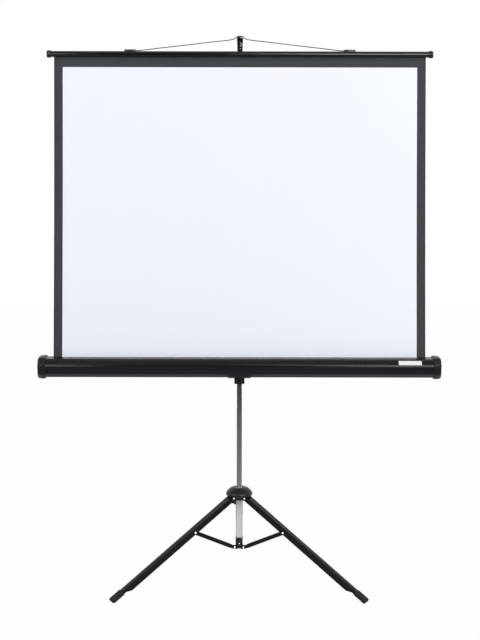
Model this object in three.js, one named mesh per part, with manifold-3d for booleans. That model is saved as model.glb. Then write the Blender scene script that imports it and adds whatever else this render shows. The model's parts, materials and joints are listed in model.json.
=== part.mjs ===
// Tripod projection screen. Millimetres, +Z up, the audience sits on the -Y side.
// The screen is built round the axis of its mast and then set down with the middle
// of its footprint over the origin.
import * as THREE from 'three';
import { mergeVertices } from 'three/addons/utils/BufferGeometryUtils.js';
import Module from 'manifold-3d';

const wasm = await Module();
wasm.setup();

// Fits
const gap = 0.3;
const overrun = 5;
const weldTolerance = 0.0001;

// Rounding, as counts of sides
const fineSides = 32;
const plainSides = 20;
const smallSides = 12;
const wireSides = 8;
const cornerSteps = 3;
const domeSteps = 7;

// Mast and the two tubes that telescope out of it, square steel
const mastWidth = 22;
const mastCorner = 2;
const tubeWall = 1.2;
const innerWall = 1;
const mastBottomZ = 140;
const mastLength = 795;
const middleBottomZ = 747.5;
const middleLength = 814.5;
const extensionTopZ = 2190;
const extensionLength = 840;

// Foot collar on the lower end of the mast
const collarWall = 3.4;
const collarFloor = 5.7;
const collarHeight = 42;
const bracePinReach = 24.6;
const bracePinZ = 137.6;
const earThickness = 8;
const earRadius = 8;
const earSlotClearance = 0.6;
const earSlotFlare = 2.4;
const collarCorner = 6.5;

// Sliding hub that carries the legs
const legPinReach = 34;
const legPinZ = 341.6;
const hubSleeveRadius = 20;
const hubSleeveDrop = 12;
const hubSleeveRise = 41;
const cheekThickness = 3.4;
const cheekDrop = 10.5;
const cheekReach = 9;
const hubDeckRise = 12;
const hubDeckThickness = 3;
const domeRadius = 54;
const domeRimDrop = 6.6;
const domeSideHeight = 9;
const domeCrownShare = 0.75;
const domeTopRadius = 23;
const domeWall = 2.6;
const deckInset = 4.4;
const pinRadius = 3;
const pinHead = 4.6;
const pinHeadHeight = 2;

// Legs, folded steel channel open on the under side
const legWidth = 28;
const legDepth = 22;
const channelWall = 1.5;
const legLength = 612;
const legWebStart = 17;
const legTaperInset = 66;
const legTaperLength = 22;
const legTongueDepth = 11;
const bracePinAlong = 211.2;
const bracePinBelowAxis = 5;

// Rubber feet
const footWidth = 32;
const footDepth = 15;
const footLength = 54;
const footSocketDepth = 32;
const footFlatDepth = 3;
const footTipChamfer = 3;

// Braces, folded steel channel open on the under side
const braceWidth = 14;
const braceDepth = 16;
const braceWebStart = 42;
const braceWebEnd = 15;
const braceEndRadius = 5.2;
const braceTaper = 22;

// Clamp knobs
const knobRadius = 8;
const knobLength = 15;
const knobScrewRadius = 3;
const knobGrooves = 6;
const knobGrooveRadius = 1.6;
const knobNeckShare = 0.6;
const knobSkirtShare = 0.25;
const knobNeckEndShare = 0.3;
const hubKnobDrop = 24;
const hubScrewLength = 5;
const clampBossWidth = 14;
const clampBossMargin = 1.5;
const carriageKnobRadius = 15;
const carriageKnobLength = 18;

// Carriage that slides on the mast and carries the case on a pivot
const carriageWidth = 42;
const carriageFront = 26;
const carriageBack = 22;
const carriageDrop = 128;
const carriageHeight = 98;
const carriageCorner = 5;
const pivotBossRadius = 17;
const pivotPinRadius = 6;
const carriageKnobRise = 46;

// Screen fabric and the plane it hangs in
const screenWidth = 1500;
const fabricThickness = 0.5;
const fabricFront = 82;

// Case, a folded metal shell with a slot along its top
const caseBeyondScreen = 26;
const caseDrop = 89;
const caseHeight = 78;
const caseBack = 58;
const caseWall = 1.6;
const slotHalfWidth = 3;
const deckFront = 37;
const deckFall = 3.5;
const lipFront = 41;
const lipDrop = 5.6;
const shoulderFront = 45;
const shoulderDrop = 9.6;
const ridgeFront = 54.5;
const ridgeTop = 53;
const ridgeBottom = 45;
const ridgeStep = 1.6;
const lowerFront = 48;
const lowerRise = 15;
const bevelFront = 31;
const backChamfer = 6;

// End caps of the case
const capLength = 30;
const capProud = 5.5;
const capCrown = 4;
const capPlugLength = 8;
const capPlugWall = 4;
const capLand = 11;

// Saddle that joins the case to the pivot
const saddleWidth = 90;
const saddlePlate = 3.4;
const saddleTongue = 52;
const saddleScrewSpacing = 64;
const saddleScrewRadius = 2.5;

// Blank label on the upper front face of the case
const labelLength = 92;
const labelHeight = 18.5;
const labelThickness = 0.4;
const labelInset = 94;
const labelCorner = 2;
const labelPlaceShare = 0.5;

// Spring roller
const rollerRadius = 19;
const rollerWall = 1.3;
const rollerBeyondScreen = 8;
const rollerRise = 40;
const wrapThickness = 1.4;
const rollerPlugLength = 16;
const axleRadius = 4;
const axleShoulder = 3;
const springAxleLength = 470;
const springInner = 6;
const springOuter = 10;
const springLength = 420;

// Top bar, the wire that hangs it and the hook that holds the wire
const barRadius = 12.5;
const barWall = 1.2;
const barBeyondScreen = 12;
const barZ = 2145;
const barCapRadius = 15;
const barCapLength = 17;
const barCapCrown = 4;
const barCapCrownShare = 0.3;
const barCapSpigot = 12;
const clipLength = 46;
const clipWidth = 15;
const clipRise = 6.5;
const clipSeatDrop = 4;
const clipRoundShare = 0.33;
const clipInset = 307;
const clipWireRise = 15;
const wireRadius = 1.75;
const wireGrip = 10;
const wireLean = 36;
const wireShoulderX = 24;
const wireShoulderDrop = 5.8;
const wireSag = 2;
const wireSagShares = [0.25, 0.5, 0.75];
const wireSteps = 48;
const wireEdgeLift = 1.7;
const hookWidth = 26;
const hookPlateWidth = 21;
const hookStrip = 3;
const hookArch = 24;
const hookRise = 75;
const hookLipOut = 15.5;
const hookLipRise = 2;
const hookLipDrop = 11;
const hookHeadDrop = 26;
const hookRib = 2;
const hookRibBack = 7;
const hookPlateDrop = 52;
const hookRoundShare = 0.33;
const hookScrewRadius = 2.2;
const hookScrewInset = 8;
const hookScrewSpacing = 13;
const extensionCapWidth = 22.5;
const extensionCapHeight = 30;
const extensionCapLid = 6;

// Guide on top of the mast and its push button
const guideWidth = 32;
const guideHeight = 36;
const guideOverMast = 20;
const buttonRadius = 5;
const buttonLength = 6;
const buttonProud = 4;
const middleGuideWidth = 27;
const middleGuideHeight = 18.6;
const middleGuideLid = 6;

// Directions of the legs, as turns round the mast from +X
const rightLegTurn = -30;
const leftLegTurn = -150;
const rearLegTurn = 90;
const knobTurn = 150;

const black = { color: 0x1d1e20, roughness: 0.42, metalness: 0.0 };
const satinBlack = { color: 0x232427, roughness: 0.35, metalness: 0.3 };
const rubber = { color: 0x222224, roughness: 0.85, metalness: 0.0 };
const chrome = { color: 0xb4b6b8, roughness: 0.22, metalness: 1.0 };
const zinc = { color: 0xc8cac9, roughness: 0.35, metalness: 0.9 };
const cloth = { color: 0xf2f3f6, roughness: 0.9, metalness: 0.0 };
const paper = { color: 0xf4f4f2, roughness: 0.6, metalness: 0.0 };
const springSteel = { color: 0x6f7072, roughness: 0.4, metalness: 0.9 };

const screen = new THREE.Group();

// Outlines

function outline(points) {
  return new THREE.Shape(points.map(([a, b]) => new THREE.Vector2(a, b)));
}

function disc(radius, sides, a = 0, b = 0) {
  const points = [];
  for (let i = 0; i < sides; i += 1) {
    const angle = (2 * Math.PI * (i + 0.5)) / sides;
    points.push([a + radius * Math.cos(angle), b + radius * Math.sin(angle)]);
  }
  return outline(points);
}

function rounded(lowA, highA, lowB, highB, radius) {
  const corners = [
    [highA - radius, highB - radius, 0],
    [lowA + radius, highB - radius, 1],
    [lowA + radius, lowB + radius, 2],
    [highA - radius, lowB + radius, 3],
  ];
  const points = [];
  for (const [a, b, quarter] of corners) {
    for (let i = 0; i <= cornerSteps; i += 1) {
      const angle = (Math.PI / 2) * (quarter + i / cornerSteps);
      points.push([a + radius * Math.cos(angle), b + radius * Math.sin(angle)]);
    }
  }
  return outline(points);
}

// A strap from (0, 0) to (length, 0) with a round end at each side that asks for one
function strap(length, low, high, startRound, endRound) {
  const points = [];
  const middle = (low + high) / 2;
  const radius = (high - low) / 2;
  if (endRound) {
    for (let i = 0; i <= smallSides; i += 1) {
      const angle = Math.PI * (i / smallSides - 0.5);
      points.push([length + radius * Math.cos(angle), middle + radius * Math.sin(angle)]);
    }
  } else {
    points.push([length, low], [length, high]);
  }
  if (startRound) {
    for (let i = 0; i <= smallSides; i += 1) {
      const angle = Math.PI * (i / smallSides + 0.5);
      points.push([radius * Math.cos(angle), middle + radius * Math.sin(angle)]);
    }
  } else {
    points.push([0, high], [0, low]);
  }
  return outline(points);
}

// Moves each side of a convex outline inwards by an amount, or outwards if it is negative
function inset(points, amount) {
  const count = points.length;
  return points.map((point, i) => {
    const before = points[(i + count - 1) % count];
    const after = points[(i + 1) % count];
    const inwards = (from, to) => {
      const length = Math.hypot(to[0] - from[0], to[1] - from[1]);
      return [-(to[1] - from[1]) / length, (to[0] - from[0]) / length];
    };
    const one = inwards(before, point);
    const two = inwards(point, after);
    const scale = amount / (1 + one[0] * two[0] + one[1] * two[1]);
    return [point[0] + scale * (one[0] + two[0]), point[1] + scale * (one[1] + two[1])];
  });
}

// Solids

function solidOf(geometry) {
  const bare = geometry.clone();
  bare.deleteAttribute('normal');
  bare.deleteAttribute('uv');
  const merged = mergeVertices(bare, weldTolerance);
  return new wasm.Manifold(
    new wasm.Mesh({
      numProp: 3,
      vertProperties: new Float32Array(merged.attributes.position.array),
      triVerts: new Uint32Array(merged.index.array),
    }),
  );
}

function geometryOf(solid) {
  const mesh = solid.getMesh();
  const geometry = new THREE.BufferGeometry();
  geometry.setAttribute('position', new THREE.BufferAttribute(mesh.vertProperties, 3));
  geometry.setIndex(new THREE.BufferAttribute(mesh.triVerts, 1));
  geometry.computeVertexNormals();
  return geometry;
}

function extruded(shape, depth, across, up, along, start) {
  const geometry = new THREE.ExtrudeGeometry(shape, { depth, bevelEnabled: false });
  geometry.applyMatrix4(new THREE.Matrix4().makeBasis(across, up, along));
  geometry.translate(along.x * start, along.y * start, along.z * start);
  return solidOf(geometry);
}

const axisX = new THREE.Vector3(1, 0, 0);
const axisY = new THREE.Vector3(0, 1, 0);
const axisZ = new THREE.Vector3(0, 0, 1);
const minusY = new THREE.Vector3(0, -1, 0);

function alongX(shape, from, to) {
  return extruded(shape, to - from, axisY, axisZ, axisX, from);
}

function alongY(shape, from, to) {
  return extruded(shape, to - from, axisX, axisZ, minusY, -to);
}

function alongZ(shape, from, to) {
  return extruded(shape, to - from, axisX, axisY, axisZ, from);
}

function block(lowX, highX, lowY, highY, lowZ, highZ) {
  return alongZ(
    outline([[lowX, lowY], [highX, lowY], [highX, highY], [lowX, highY]]),
    lowZ,
    highZ,
  );
}

function turned(profile, sides) {
  const geometry = new THREE.LatheGeometry(
    profile.map(([radius, height]) => new THREE.Vector2(radius, height)),
    sides,
  );
  geometry.rotateX(Math.PI / 2);
  return solidOf(geometry);
}

function add(name, solid, finish, parent = screen) {
  const geometry = solid.isBufferGeometry ? solid : geometryOf(solid);
  const mesh = new THREE.Mesh(geometry, new THREE.MeshStandardMaterial(finish));
  mesh.name = name;
  parent.add(mesh);
  return mesh;
}

// A pin along Y with a domed head on each side, from the middle out to a reach
function crossPin(reach) {
  const shank = alongY(disc(pinRadius, smallSides), -reach - pinHeadHeight / 2, reach + pinHeadHeight / 2);
  const head = alongY(disc(pinHead, smallSides), reach, reach + pinHeadHeight);
  const otherHead = alongY(disc(pinHead, smallSides), -reach - pinHeadHeight, -reach);
  return shank.add(head).add(otherHead);
}

// A fluted knob that points along +X from the face it stands off
function knob(radius, length, screwLength) {
  const neck = radius * knobNeckShare;
  let grip = alongX(disc(radius, plainSides), length * knobSkirtShare, length)
    .add(alongX(disc(neck, plainSides), 0, length * knobNeckEndShare));
  for (let i = 0; i < knobGrooves; i += 1) {
    const angle = (2 * Math.PI * i) / knobGrooves;
    const groove = disc(knobGrooveRadius, smallSides, radius * Math.cos(angle), radius * Math.sin(angle));
    grip = grip.subtract(alongX(groove, -overrun, length + overrun));
  }
  return grip.add(alongX(disc(knobScrewRadius, smallSides), -screwLength, length / 2));
}

// Mast

const mastHalf = mastWidth / 2;
const mastTopZ = mastBottomZ + mastLength;

function squareTube(width, corner, wall, from, to) {
  const half = width / 2;
  const inner = half - wall;
  const bore = rounded(-inner, inner, -inner, inner, corner - wall / 2);
  return alongZ(rounded(-half, half, -half, half, corner), from, to)
    .subtract(alongZ(bore, from - overrun, to + overrun));
}

function mastBore(clearance, from, to) {
  const half = mastHalf + clearance;
  return alongZ(rounded(-half, half, -half, half, mastCorner), from, to);
}

add('mast_tube', squareTube(mastWidth, mastCorner, tubeWall, mastBottomZ, mastTopZ), zinc);

// Foot collar

const collarBottomZ = mastBottomZ - gap - collarFloor;
const collarTopZ = collarBottomZ + collarHeight;
const collarHalf = mastHalf + gap + collarWall;
const legTurns = { left: leftLegTurn, right: rightLegTurn, rear: rearLegTurn };

function turnedBy(solid, degrees) {
  return solid.rotate([0, 0, degrees]);
}

function footCollar() {
  const ear = alongY(
    strap(bracePinReach, -earRadius, earRadius, false, true),
    -earThickness / 2,
    earThickness / 2,
  ).translate([0, 0, bracePinZ]);
  const slotHalf = pinRadius + earSlotClearance;
  const mouth = outline([
    [-slotHalf, 0],
    [-slotHalf - earSlotFlare, -earRadius],
    [-slotHalf - earSlotFlare, -earRadius - overrun],
    [slotHalf, -earRadius - overrun],
    [slotHalf, 0],
  ]);
  const slot = alongY(disc(slotHalf, smallSides), -earThickness, earThickness)
    .add(alongY(mouth, -earThickness, earThickness))
    .translate([bracePinReach, 0, bracePinZ]);
  let collar = alongZ(
    rounded(-collarHalf, collarHalf, -collarHalf, collarHalf, collarCorner),
    collarBottomZ,
    collarTopZ,
  );
  for (const turn of Object.values(legTurns)) {
    collar = collar.add(turnedBy(ear, turn)).subtract(turnedBy(slot, turn));
  }
  const sightHole = alongZ(disc(mastHalf / 2, plainSides), collarBottomZ - overrun, mastBottomZ);
  return collar.subtract(mastBore(gap, mastBottomZ - gap, collarTopZ + overrun)).subtract(sightHole);
}

add('foot_collar', footCollar(), black);

const collarRivetZ = (bracePinZ + collarTopZ) / 2 - earRadius / 2;
add(
  'collar_rivet',
  alongY(
    disc(pinHead / 2 + gap, smallSides, 0, collarRivetZ),
    -collarHalf - pinHeadHeight,
    -collarHalf - gap,
  ),
  chrome,
);

// Guide and push button on top of the mast

const guideHalf = guideWidth / 2;
const middleWidth = mastWidth - 2 * (tubeWall + gap);
const middleHalf = middleWidth / 2;
const extensionWidth = middleWidth - 2 * (innerWall + gap);
const extensionHalf = extensionWidth / 2;
const guideBottomZ = mastTopZ - guideOverMast;
const guideTopZ = guideBottomZ + guideHeight;
const buttonZ = (mastTopZ + guideTopZ) / 2;
const buttonEnd = guideHalf + buttonProud;

function mastGuide() {
  const bore = middleHalf + gap;
  const body = rounded(-guideHalf, guideHalf, -guideHalf, guideHalf, mastCorner * 2);
  return alongZ(body, guideBottomZ, guideTopZ)
    .subtract(mastBore(gap, guideBottomZ - overrun, mastTopZ + gap))
    .subtract(alongZ(rounded(-bore, bore, -bore, bore, mastCorner), mastTopZ - overrun, guideTopZ + overrun))
    .subtract(alongY(disc(buttonRadius + gap, plainSides, 0, buttonZ), 0, buttonEnd));
}

add('mast_guide', mastGuide(), black);
add(
  'extension_button',
  alongY(disc(buttonRadius, plainSides, 0, buttonZ), buttonEnd - buttonLength, buttonEnd),
  black,
);

// Hub

const hubTopZ = legPinZ + hubSleeveRise;
const hubBottomZ = legPinZ - hubSleeveDrop;
const deckBottomZ = legPinZ + hubDeckRise;
const deckTopZ = deckBottomZ + hubDeckThickness;
const cheekInner = legWidth / 2 + gap;
const cheekOuter = cheekInner + cheekThickness;
const deckRadius = domeRadius - domeWall - deckInset;

function hubBody() {
  let hub = alongZ(disc(hubSleeveRadius, fineSides), hubBottomZ, hubTopZ)
    .add(alongZ(disc(deckRadius, fineSides), deckBottomZ, deckTopZ));
  const reach = legPinReach + cheekReach;
  const cheeks = block(0, reach, cheekInner, cheekOuter, legPinZ - cheekDrop, deckTopZ)
    .add(block(0, reach, -cheekOuter, -cheekInner, legPinZ - cheekDrop, deckTopZ))
    .subtract(alongY(disc(pinRadius + gap, smallSides, legPinReach, legPinZ), -legWidth, legWidth));
  for (const turn of Object.values(legTurns)) {
    hub = hub.add(turnedBy(cheeks, turn));
  }
  const screwHole = alongX(disc(knobScrewRadius + gap, smallSides), 0, domeRadius)
    .translate([0, 0, legPinZ - hubKnobDrop]);
  const bossBottomZ = legPinZ - hubKnobDrop - knobRadius - clampBossMargin;
  const boss = block(0, hubSleeveRadius, -clampBossWidth / 2, clampBossWidth / 2, bossBottomZ, legPinZ);
  return hub.add(turnedBy(boss, knobTurn))
    .subtract(mastBore(gap, bossBottomZ - overrun, hubTopZ + overrun))
    .subtract(turnedBy(screwHole, knobTurn));
}

add('hub_body', hubBody(), black);

const domeRimZ = deckTopZ - domeRimDrop;

// The profile of a dome, from its rim up to its flat top
function domeProfile(radius, topRadius, rimZ, topZ) {
  const shoulderZ = domeRimZ + domeSideHeight;
  const points = [[0, rimZ], [radius, rimZ]];
  for (let i = 0; i <= domeSteps; i += 1) {
    const angle = (Math.PI / 2) * (i / domeSteps);
    const rise = Math.sin(angle);
    const straight = 1 - rise;
    const out = straight + (Math.cos(angle) - straight) * domeCrownShare;
    points.push([topRadius + (radius - topRadius) * out, shoulderZ + (topZ - shoulderZ) * rise]);
  }
  points.push([0, topZ]);
  return points;
}

function hubDome() {
  const innerTopZ = hubTopZ - domeWall;
  const outer = turned(domeProfile(domeRadius, domeTopRadius, domeRimZ, hubTopZ), fineSides);
  const inner = turned(
    domeProfile(domeRadius - domeWall, domeTopRadius, domeRimZ - overrun, innerTopZ),
    fineSides,
  );
  return outer.subtract(inner)
    .subtract(alongZ(disc(hubSleeveRadius + gap, fineSides), domeRimZ - overrun, hubTopZ + overrun));
}

add('hub_dome', hubDome(), black);

const hubKnob = new THREE.Group();
hubKnob.rotation.z = THREE.MathUtils.degToRad(knobTurn);
screen.add(hubKnob);
add(
  'hub_clamp_knob',
  knob(knobRadius, knobLength, hubScrewLength)
    .translate([hubSleeveRadius + gap, 0, legPinZ - hubKnobDrop]),
  black,
  hubKnob,
);

// Legs, feet and braces. Each leg is drawn along +X from its pin and then tilted.

const footSection = footDepth / 2;
const tongueMiddle = legDepth / 2 - legTongueDepth / 2;
const legTaperStart = legLength - legTaperInset;
const footUnder = tongueMiddle - footSection;
const footEnd = legLength + footLength - footSocketDepth;
const legDrop = legPinZ + footFlatDepth;
const footLever = Math.hypot(footEnd, footUnder);
const legSlope = Math.asin(legDrop / footLever) + Math.atan2(footUnder, footEnd);

function legChannel() {
  const top = legDepth / 2;
  const tongueLow = top - legTongueDepth;
  const side = outline([
    [0, -top],
    [legTaperStart, -top],
    [legTaperStart + legTaperLength, tongueLow],
    [legLength, tongueLow],
    [legLength, top],
    [0, top],
  ]);
  const half = legWidth / 2;
  const inner = half - channelWall;
  const hollowTop = top - channelWall;
  const eye = (x, z) => alongY(disc(pinRadius + gap, smallSides, x, z), -legWidth, legWidth);
  return alongY(side, -half, half)
    .add(alongY(disc(top, fineSides), -half, half))
    .subtract(block(-legDepth, legLength + overrun, -inner, inner, -legDepth, hollowTop))
    .subtract(block(-legDepth, legWebStart, -inner, inner, -legDepth, legDepth))
    .subtract(eye(0, 0))
    .subtract(eye(bracePinAlong, -bracePinBelowAxis));
}

function rubberFoot() {
  const half = footWidth / 2;
  const start = legLength - footSocketDepth;
  const low = tongueMiddle - footSection;
  const high = tongueMiddle + footSection;
  const chamfer = footTipChamfer;
  const side = outline([
    [start, low],
    [footEnd, low],
    [footEnd, high - chamfer],
    [footEnd - chamfer, high],
    [start, high],
  ]);
  const plan = outline([
    [start, -half],
    [footEnd - chamfer, -half],
    [footEnd, -half + chamfer],
    [footEnd, half - chamfer],
    [footEnd - chamfer, half],
    [start, half],
  ]);
  const socketHalf = legWidth / 2 + gap;
  const socketLow = legDepth / 2 - legTongueDepth - gap;
  const socketHigh = legDepth / 2 + gap;
  return alongY(side, -half, half)
    .intersect(alongZ(plan, low - overrun, high + overrun))
    .subtract(
      block(start - overrun, legLength + gap, -socketHalf, socketHalf, socketLow, socketHigh),
    );
}

const legPlace = [legPinReach, 0, legPinZ];
const slopeDegrees = THREE.MathUtils.radToDeg(legSlope);
const bracePinOut = legPinReach
  + bracePinAlong * Math.cos(legSlope) - bracePinBelowAxis * Math.sin(legSlope);
const bracePinUp = legPinZ
  - bracePinAlong * Math.sin(legSlope) - bracePinBelowAxis * Math.cos(legSlope);
const braceLength = Math.hypot(bracePinOut - bracePinReach, bracePinUp - bracePinZ);
const braceSlope = Math.atan2(bracePinUp - bracePinZ, bracePinOut - bracePinReach);

// The side of a brace, from its slim round end at the collar to its full end at the leg
function braceSide() {
  const top = braceDepth / 2;
  const points = [];
  for (let i = 0; i <= smallSides; i += 1) {
    const angle = Math.PI * (i / smallSides + 0.5);
    points.push([braceEndRadius * Math.cos(angle), braceEndRadius * Math.sin(angle)]);
  }
  points.push([braceTaper, -top]);
  for (let i = 0; i <= smallSides; i += 1) {
    const angle = Math.PI * (i / smallSides - 0.5);
    points.push([braceLength + top * Math.cos(angle), top * Math.sin(angle)]);
  }
  points.push([braceTaper, top]);
  return outline(points);
}

function braceChannel() {
  const half = braceWidth / 2;
  const top = braceDepth / 2;
  const inner = half - channelWall;
  const hollowTop = top - channelWall;
  const eye = (x) => alongY(disc(pinRadius + gap, smallSides, x, 0), -legWidth, legWidth);
  return alongY(braceSide(), -half, half)
    .subtract(block(-braceDepth, braceLength + braceDepth, -inner, inner, -braceDepth, hollowTop))
    .subtract(block(-braceDepth, braceWebStart, -inner, inner, -braceDepth, braceDepth))
    .subtract(
      block(braceLength - braceWebEnd, braceLength + braceDepth, -inner, inner, -braceDepth, braceDepth),
    )
    .subtract(eye(0))
    .subtract(eye(braceLength));
}

// The floor cuts the flat that each foot stands on
const floorSlab = block(-legLength * 2, legLength * 2, -legLength, legLength, -legLength, 0);

for (const [side, turn] of Object.entries(legTurns)) {
  const leg = new THREE.Group();
  leg.rotation.z = THREE.MathUtils.degToRad(turn);
  screen.add(leg);
  const tilt = (solid) => solid.rotate([0, slopeDegrees, 0]).translate(legPlace);
  add(`leg_channel_${side}`, tilt(legChannel()), satinBlack, leg);
  add(`rubber_foot_${side}`, tilt(rubberFoot()).subtract(floorSlab), rubber, leg);
  add(`leg_pin_${side}`, crossPin(cheekOuter + gap).translate(legPlace), chrome, leg);
  add(
    `leg_brace_rivet_${side}`,
    crossPin(legWidth / 2 + gap).translate([bracePinOut, 0, bracePinUp]),
    chrome,
    leg,
  );
  add(
    `brace_${side}`,
    braceChannel()
      .rotate([0, -THREE.MathUtils.radToDeg(braceSlope), 0])
      .translate([bracePinReach, 0, bracePinZ]),
    satinBlack,
    leg,
  );
  add(
    `brace_collar_rivet_${side}`,
    crossPin(braceWidth / 2 + gap).translate([bracePinReach, 0, bracePinZ]),
    chrome,
    leg,
  );
}

// Case

const ridgeY = -fabricFront - ridgeFront;
const screenHalf = screenWidth / 2;
const caseHalfLength = screenHalf + caseBeyondScreen;
const rollerHalfLength = screenHalf + rollerBeyondScreen;
const barHalfLength = screenHalf + barBeyondScreen;
const clipCentreX = screenHalf - clipInset;
const caseBottomZ = mastTopZ - caseDrop;
const caseTopZ = caseBottomZ + caseHeight;
const caseMiddleZ = caseBottomZ + caseHeight / 2;
const fabricBack = -fabricFront + fabricThickness;
const fabricMiddle = -fabricFront + fabricThickness / 2;

// Outer outline of the case across the mast, as (y, z), counter-clockwise
const caseOutline = [
  [-caseBack, caseBottomZ + backChamfer],
  [-caseBack, caseTopZ - backChamfer],
  [-caseBack - backChamfer, caseTopZ],
  [fabricMiddle, caseTopZ],
  [-fabricFront - deckFront, caseTopZ - deckFall],
  [-fabricFront - lipFront, caseTopZ - lipDrop],
  [-fabricFront - shoulderFront, caseTopZ - shoulderDrop],
  [ridgeY, caseBottomZ + ridgeTop],
  [ridgeY, caseBottomZ + ridgeBottom],
  [-fabricFront - lowerFront, caseBottomZ + lowerRise],
  [-fabricFront - bevelFront, caseBottomZ],
  [-caseBack - backChamfer, caseBottomZ],
];

function caseShell() {
  const hollow = outline(inset(caseOutline, caseWall));
  const slot = block(
    -caseHalfLength - overrun,
    caseHalfLength + overrun,
    fabricMiddle - slotHalfWidth,
    fabricMiddle + slotHalfWidth,
    caseTopZ - caseWall * 2,
    caseTopZ + overrun,
  );
  // The bright line along the front is a small step in the folded sheet
  const stepLine = block(
    -caseHalfLength - overrun,
    caseHalfLength + overrun,
    ridgeY - overrun,
    ridgeY + ridgeStep / 2,
    caseBottomZ + ridgeTop - ridgeStep,
    caseBottomZ + ridgeTop + overrun,
  );
  return alongX(outline(caseOutline), -caseHalfLength, caseHalfLength)
    .subtract(alongX(hollow, -caseHalfLength - overrun, caseHalfLength + overrun))
    .subtract(slot)
    .subtract(stepLine);
}

add('case_shell', caseShell(), satinBlack);

// Roller axis, as (y, z)
const wrapRadius = rollerRadius + gap + wrapThickness;
const rollerY = -fabricFront - wrapRadius - gap;
const rollerZ = caseBottomZ + rollerRise;

// A crowned cap for the end of the case at +X
function endCap() {
  const start = caseHalfLength + gap;
  const flat = start + capLength - capCrown;
  const end = start + capLength;
  const proud = inset(caseOutline, -capProud);
  const crown = inset(caseOutline, -capProud + capCrown);
  const steps = [[start, inset(caseOutline, -capProud + capCrown / 2)], [start + capCrown / 2, proud]];
  steps.push([flat - capLand, proud], [flat, inset(caseOutline, -capProud + capCrown / 2)], [end, crown]);
  const positions = [];
  const indices = [];
  const count = proud.length;
  for (const [x, ring] of steps) {
    for (const [y, z] of ring) {
      positions.push(x, y, z);
    }
  }
  for (let level = 0; level + 1 < steps.length; level += 1) {
    for (let i = 0; i < count; i += 1) {
      const a = level * count + i;
      const b = level * count + ((i + 1) % count);
      indices.push(a, b, b + count, a, b + count, a + count);
    }
  }
  const last = (steps.length - 1) * count;
  for (const [one, two, three] of THREE.ShapeUtils.triangulateShape(
    proud.map(([y, z]) => new THREE.Vector2(y, z)),
    [],
  )) {
    indices.push(one, three, two, last + one, last + two, last + three);
  }
  const geometry = new THREE.BufferGeometry();
  geometry.setAttribute('position', new THREE.Float32BufferAttribute(positions, 3));
  geometry.setIndex(indices);
  const plugOuter = inset(caseOutline, caseWall + gap);
  const plugInner = inset(caseOutline, caseWall + gap + capPlugWall);
  const plug = alongX(outline(plugOuter), start - capPlugLength, start + capCrown)
    .subtract(alongX(outline(plugInner), start - capPlugLength - overrun, start));
  return solidOf(geometry).add(plug)
    .subtract(alongX(disc(axleRadius + gap, plainSides, rollerY, rollerZ), start - overrun, flat));
}

const rightCap = endCap();
add('end_cap_right', rightCap, black);
add('end_cap_left', rightCap.mirror([1, 0, 0]), black);

// Blank label, laid on the sloping upper face of the case
function blankLabel() {
  const [, , , , , , shoulder, ridge] = caseOutline;
  const run = ridge[0] - shoulder[0];
  const fall = ridge[1] - shoulder[1];
  const tilt = Math.atan2(-run, -fall);
  const plate = alongY(
    rounded(-labelLength / 2, labelLength / 2, -labelHeight / 2, labelHeight / 2, labelCorner),
    -gap - labelThickness,
    -gap,
  );
  return plate.rotate([THREE.MathUtils.radToDeg(-tilt), 0, 0]).translate([
    caseHalfLength - labelInset,
    shoulder[0] + run * labelPlaceShare,
    shoulder[1] + fall * labelPlaceShare,
  ]);
}

add('blank_label', blankLabel(), paper);

// Saddle on the back and under side of the case, with the pivot pin fixed in it

const saddleFace = -caseBack + gap;
const saddleBack = saddleFace + saddlePlate;

function saddle() {
  const half = saddleWidth / 2;
  const bottom = caseBottomZ - gap - saddlePlate;
  const plate = alongY(
    rounded(-half, half, bottom, caseTopZ - backChamfer, carriageCorner),
    saddleFace,
    saddleBack,
  );
  const tongue = block(-half, half, -caseBack - saddleTongue, saddleBack, bottom, bottom + saddlePlate);
  const corner = outline([
    [saddleBack, bottom],
    [saddleBack, bottom + saddlePlate * 2],
    [saddleFace, bottom + saddlePlate * 2],
    [saddleFace, bottom],
  ]);
  return plate.add(tongue).add(alongX(corner, -half, half));
}

add('case_saddle', saddle(), black);

function saddleScrew(x) {
  const bottom = caseBottomZ - gap - saddlePlate;
  return alongZ(disc(saddleScrewRadius * 2, smallSides), bottom - pinHeadHeight, bottom - gap)
    .translate([x, -caseBack - saddleTongue / 2, 0]);
}

add('saddle_screw_left', saddleScrew(-saddleScrewSpacing / 2), chrome);
add('saddle_screw_right', saddleScrew(saddleScrewSpacing / 2), chrome);

const bossFront = saddleBack + gap;
add(
  'pivot_pin',
  alongY(disc(pivotPinRadius, plainSides, 0, caseMiddleZ), bossFront, -carriageFront),
  chrome,
);

// Carriage

const carriageBottomZ = mastTopZ - carriageDrop;
const carriageTopZ = carriageBottomZ + carriageHeight;
const carriageKnobZ = carriageBottomZ + carriageKnobRise;

function carriage() {
  const half = carriageWidth / 2;
  const pinBore = disc(pivotPinRadius + gap, plainSides, 0, caseMiddleZ);
  const screwHole = disc(knobScrewRadius + gap, smallSides, 0, carriageKnobZ);
  return alongZ(
    rounded(-half, half, -carriageFront, carriageBack, carriageCorner),
    carriageBottomZ,
    carriageTopZ,
  )
    .add(alongY(disc(pivotBossRadius, fineSides, 0, caseMiddleZ), bossFront, -mastHalf - collarWall))
    .subtract(mastBore(gap, carriageBottomZ - overrun, carriageTopZ + overrun))
    .subtract(alongY(pinBore, bossFront - overrun, -carriageFront + gap))
    .subtract(alongY(screwHole, 0, carriageBack + overrun));
}

add('carriage', carriage(), black);

const carriageKnob = new THREE.Group();
carriageKnob.rotation.z = Math.PI / 2;
screen.add(carriageKnob);
add(
  'carriage_clamp_knob',
  knob(carriageKnobRadius, carriageKnobLength, carriageBack - mastHalf - gap * 2)
    .translate([carriageBack + gap, 0, carriageKnobZ]),
  black,
  carriageKnob,
);

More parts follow.
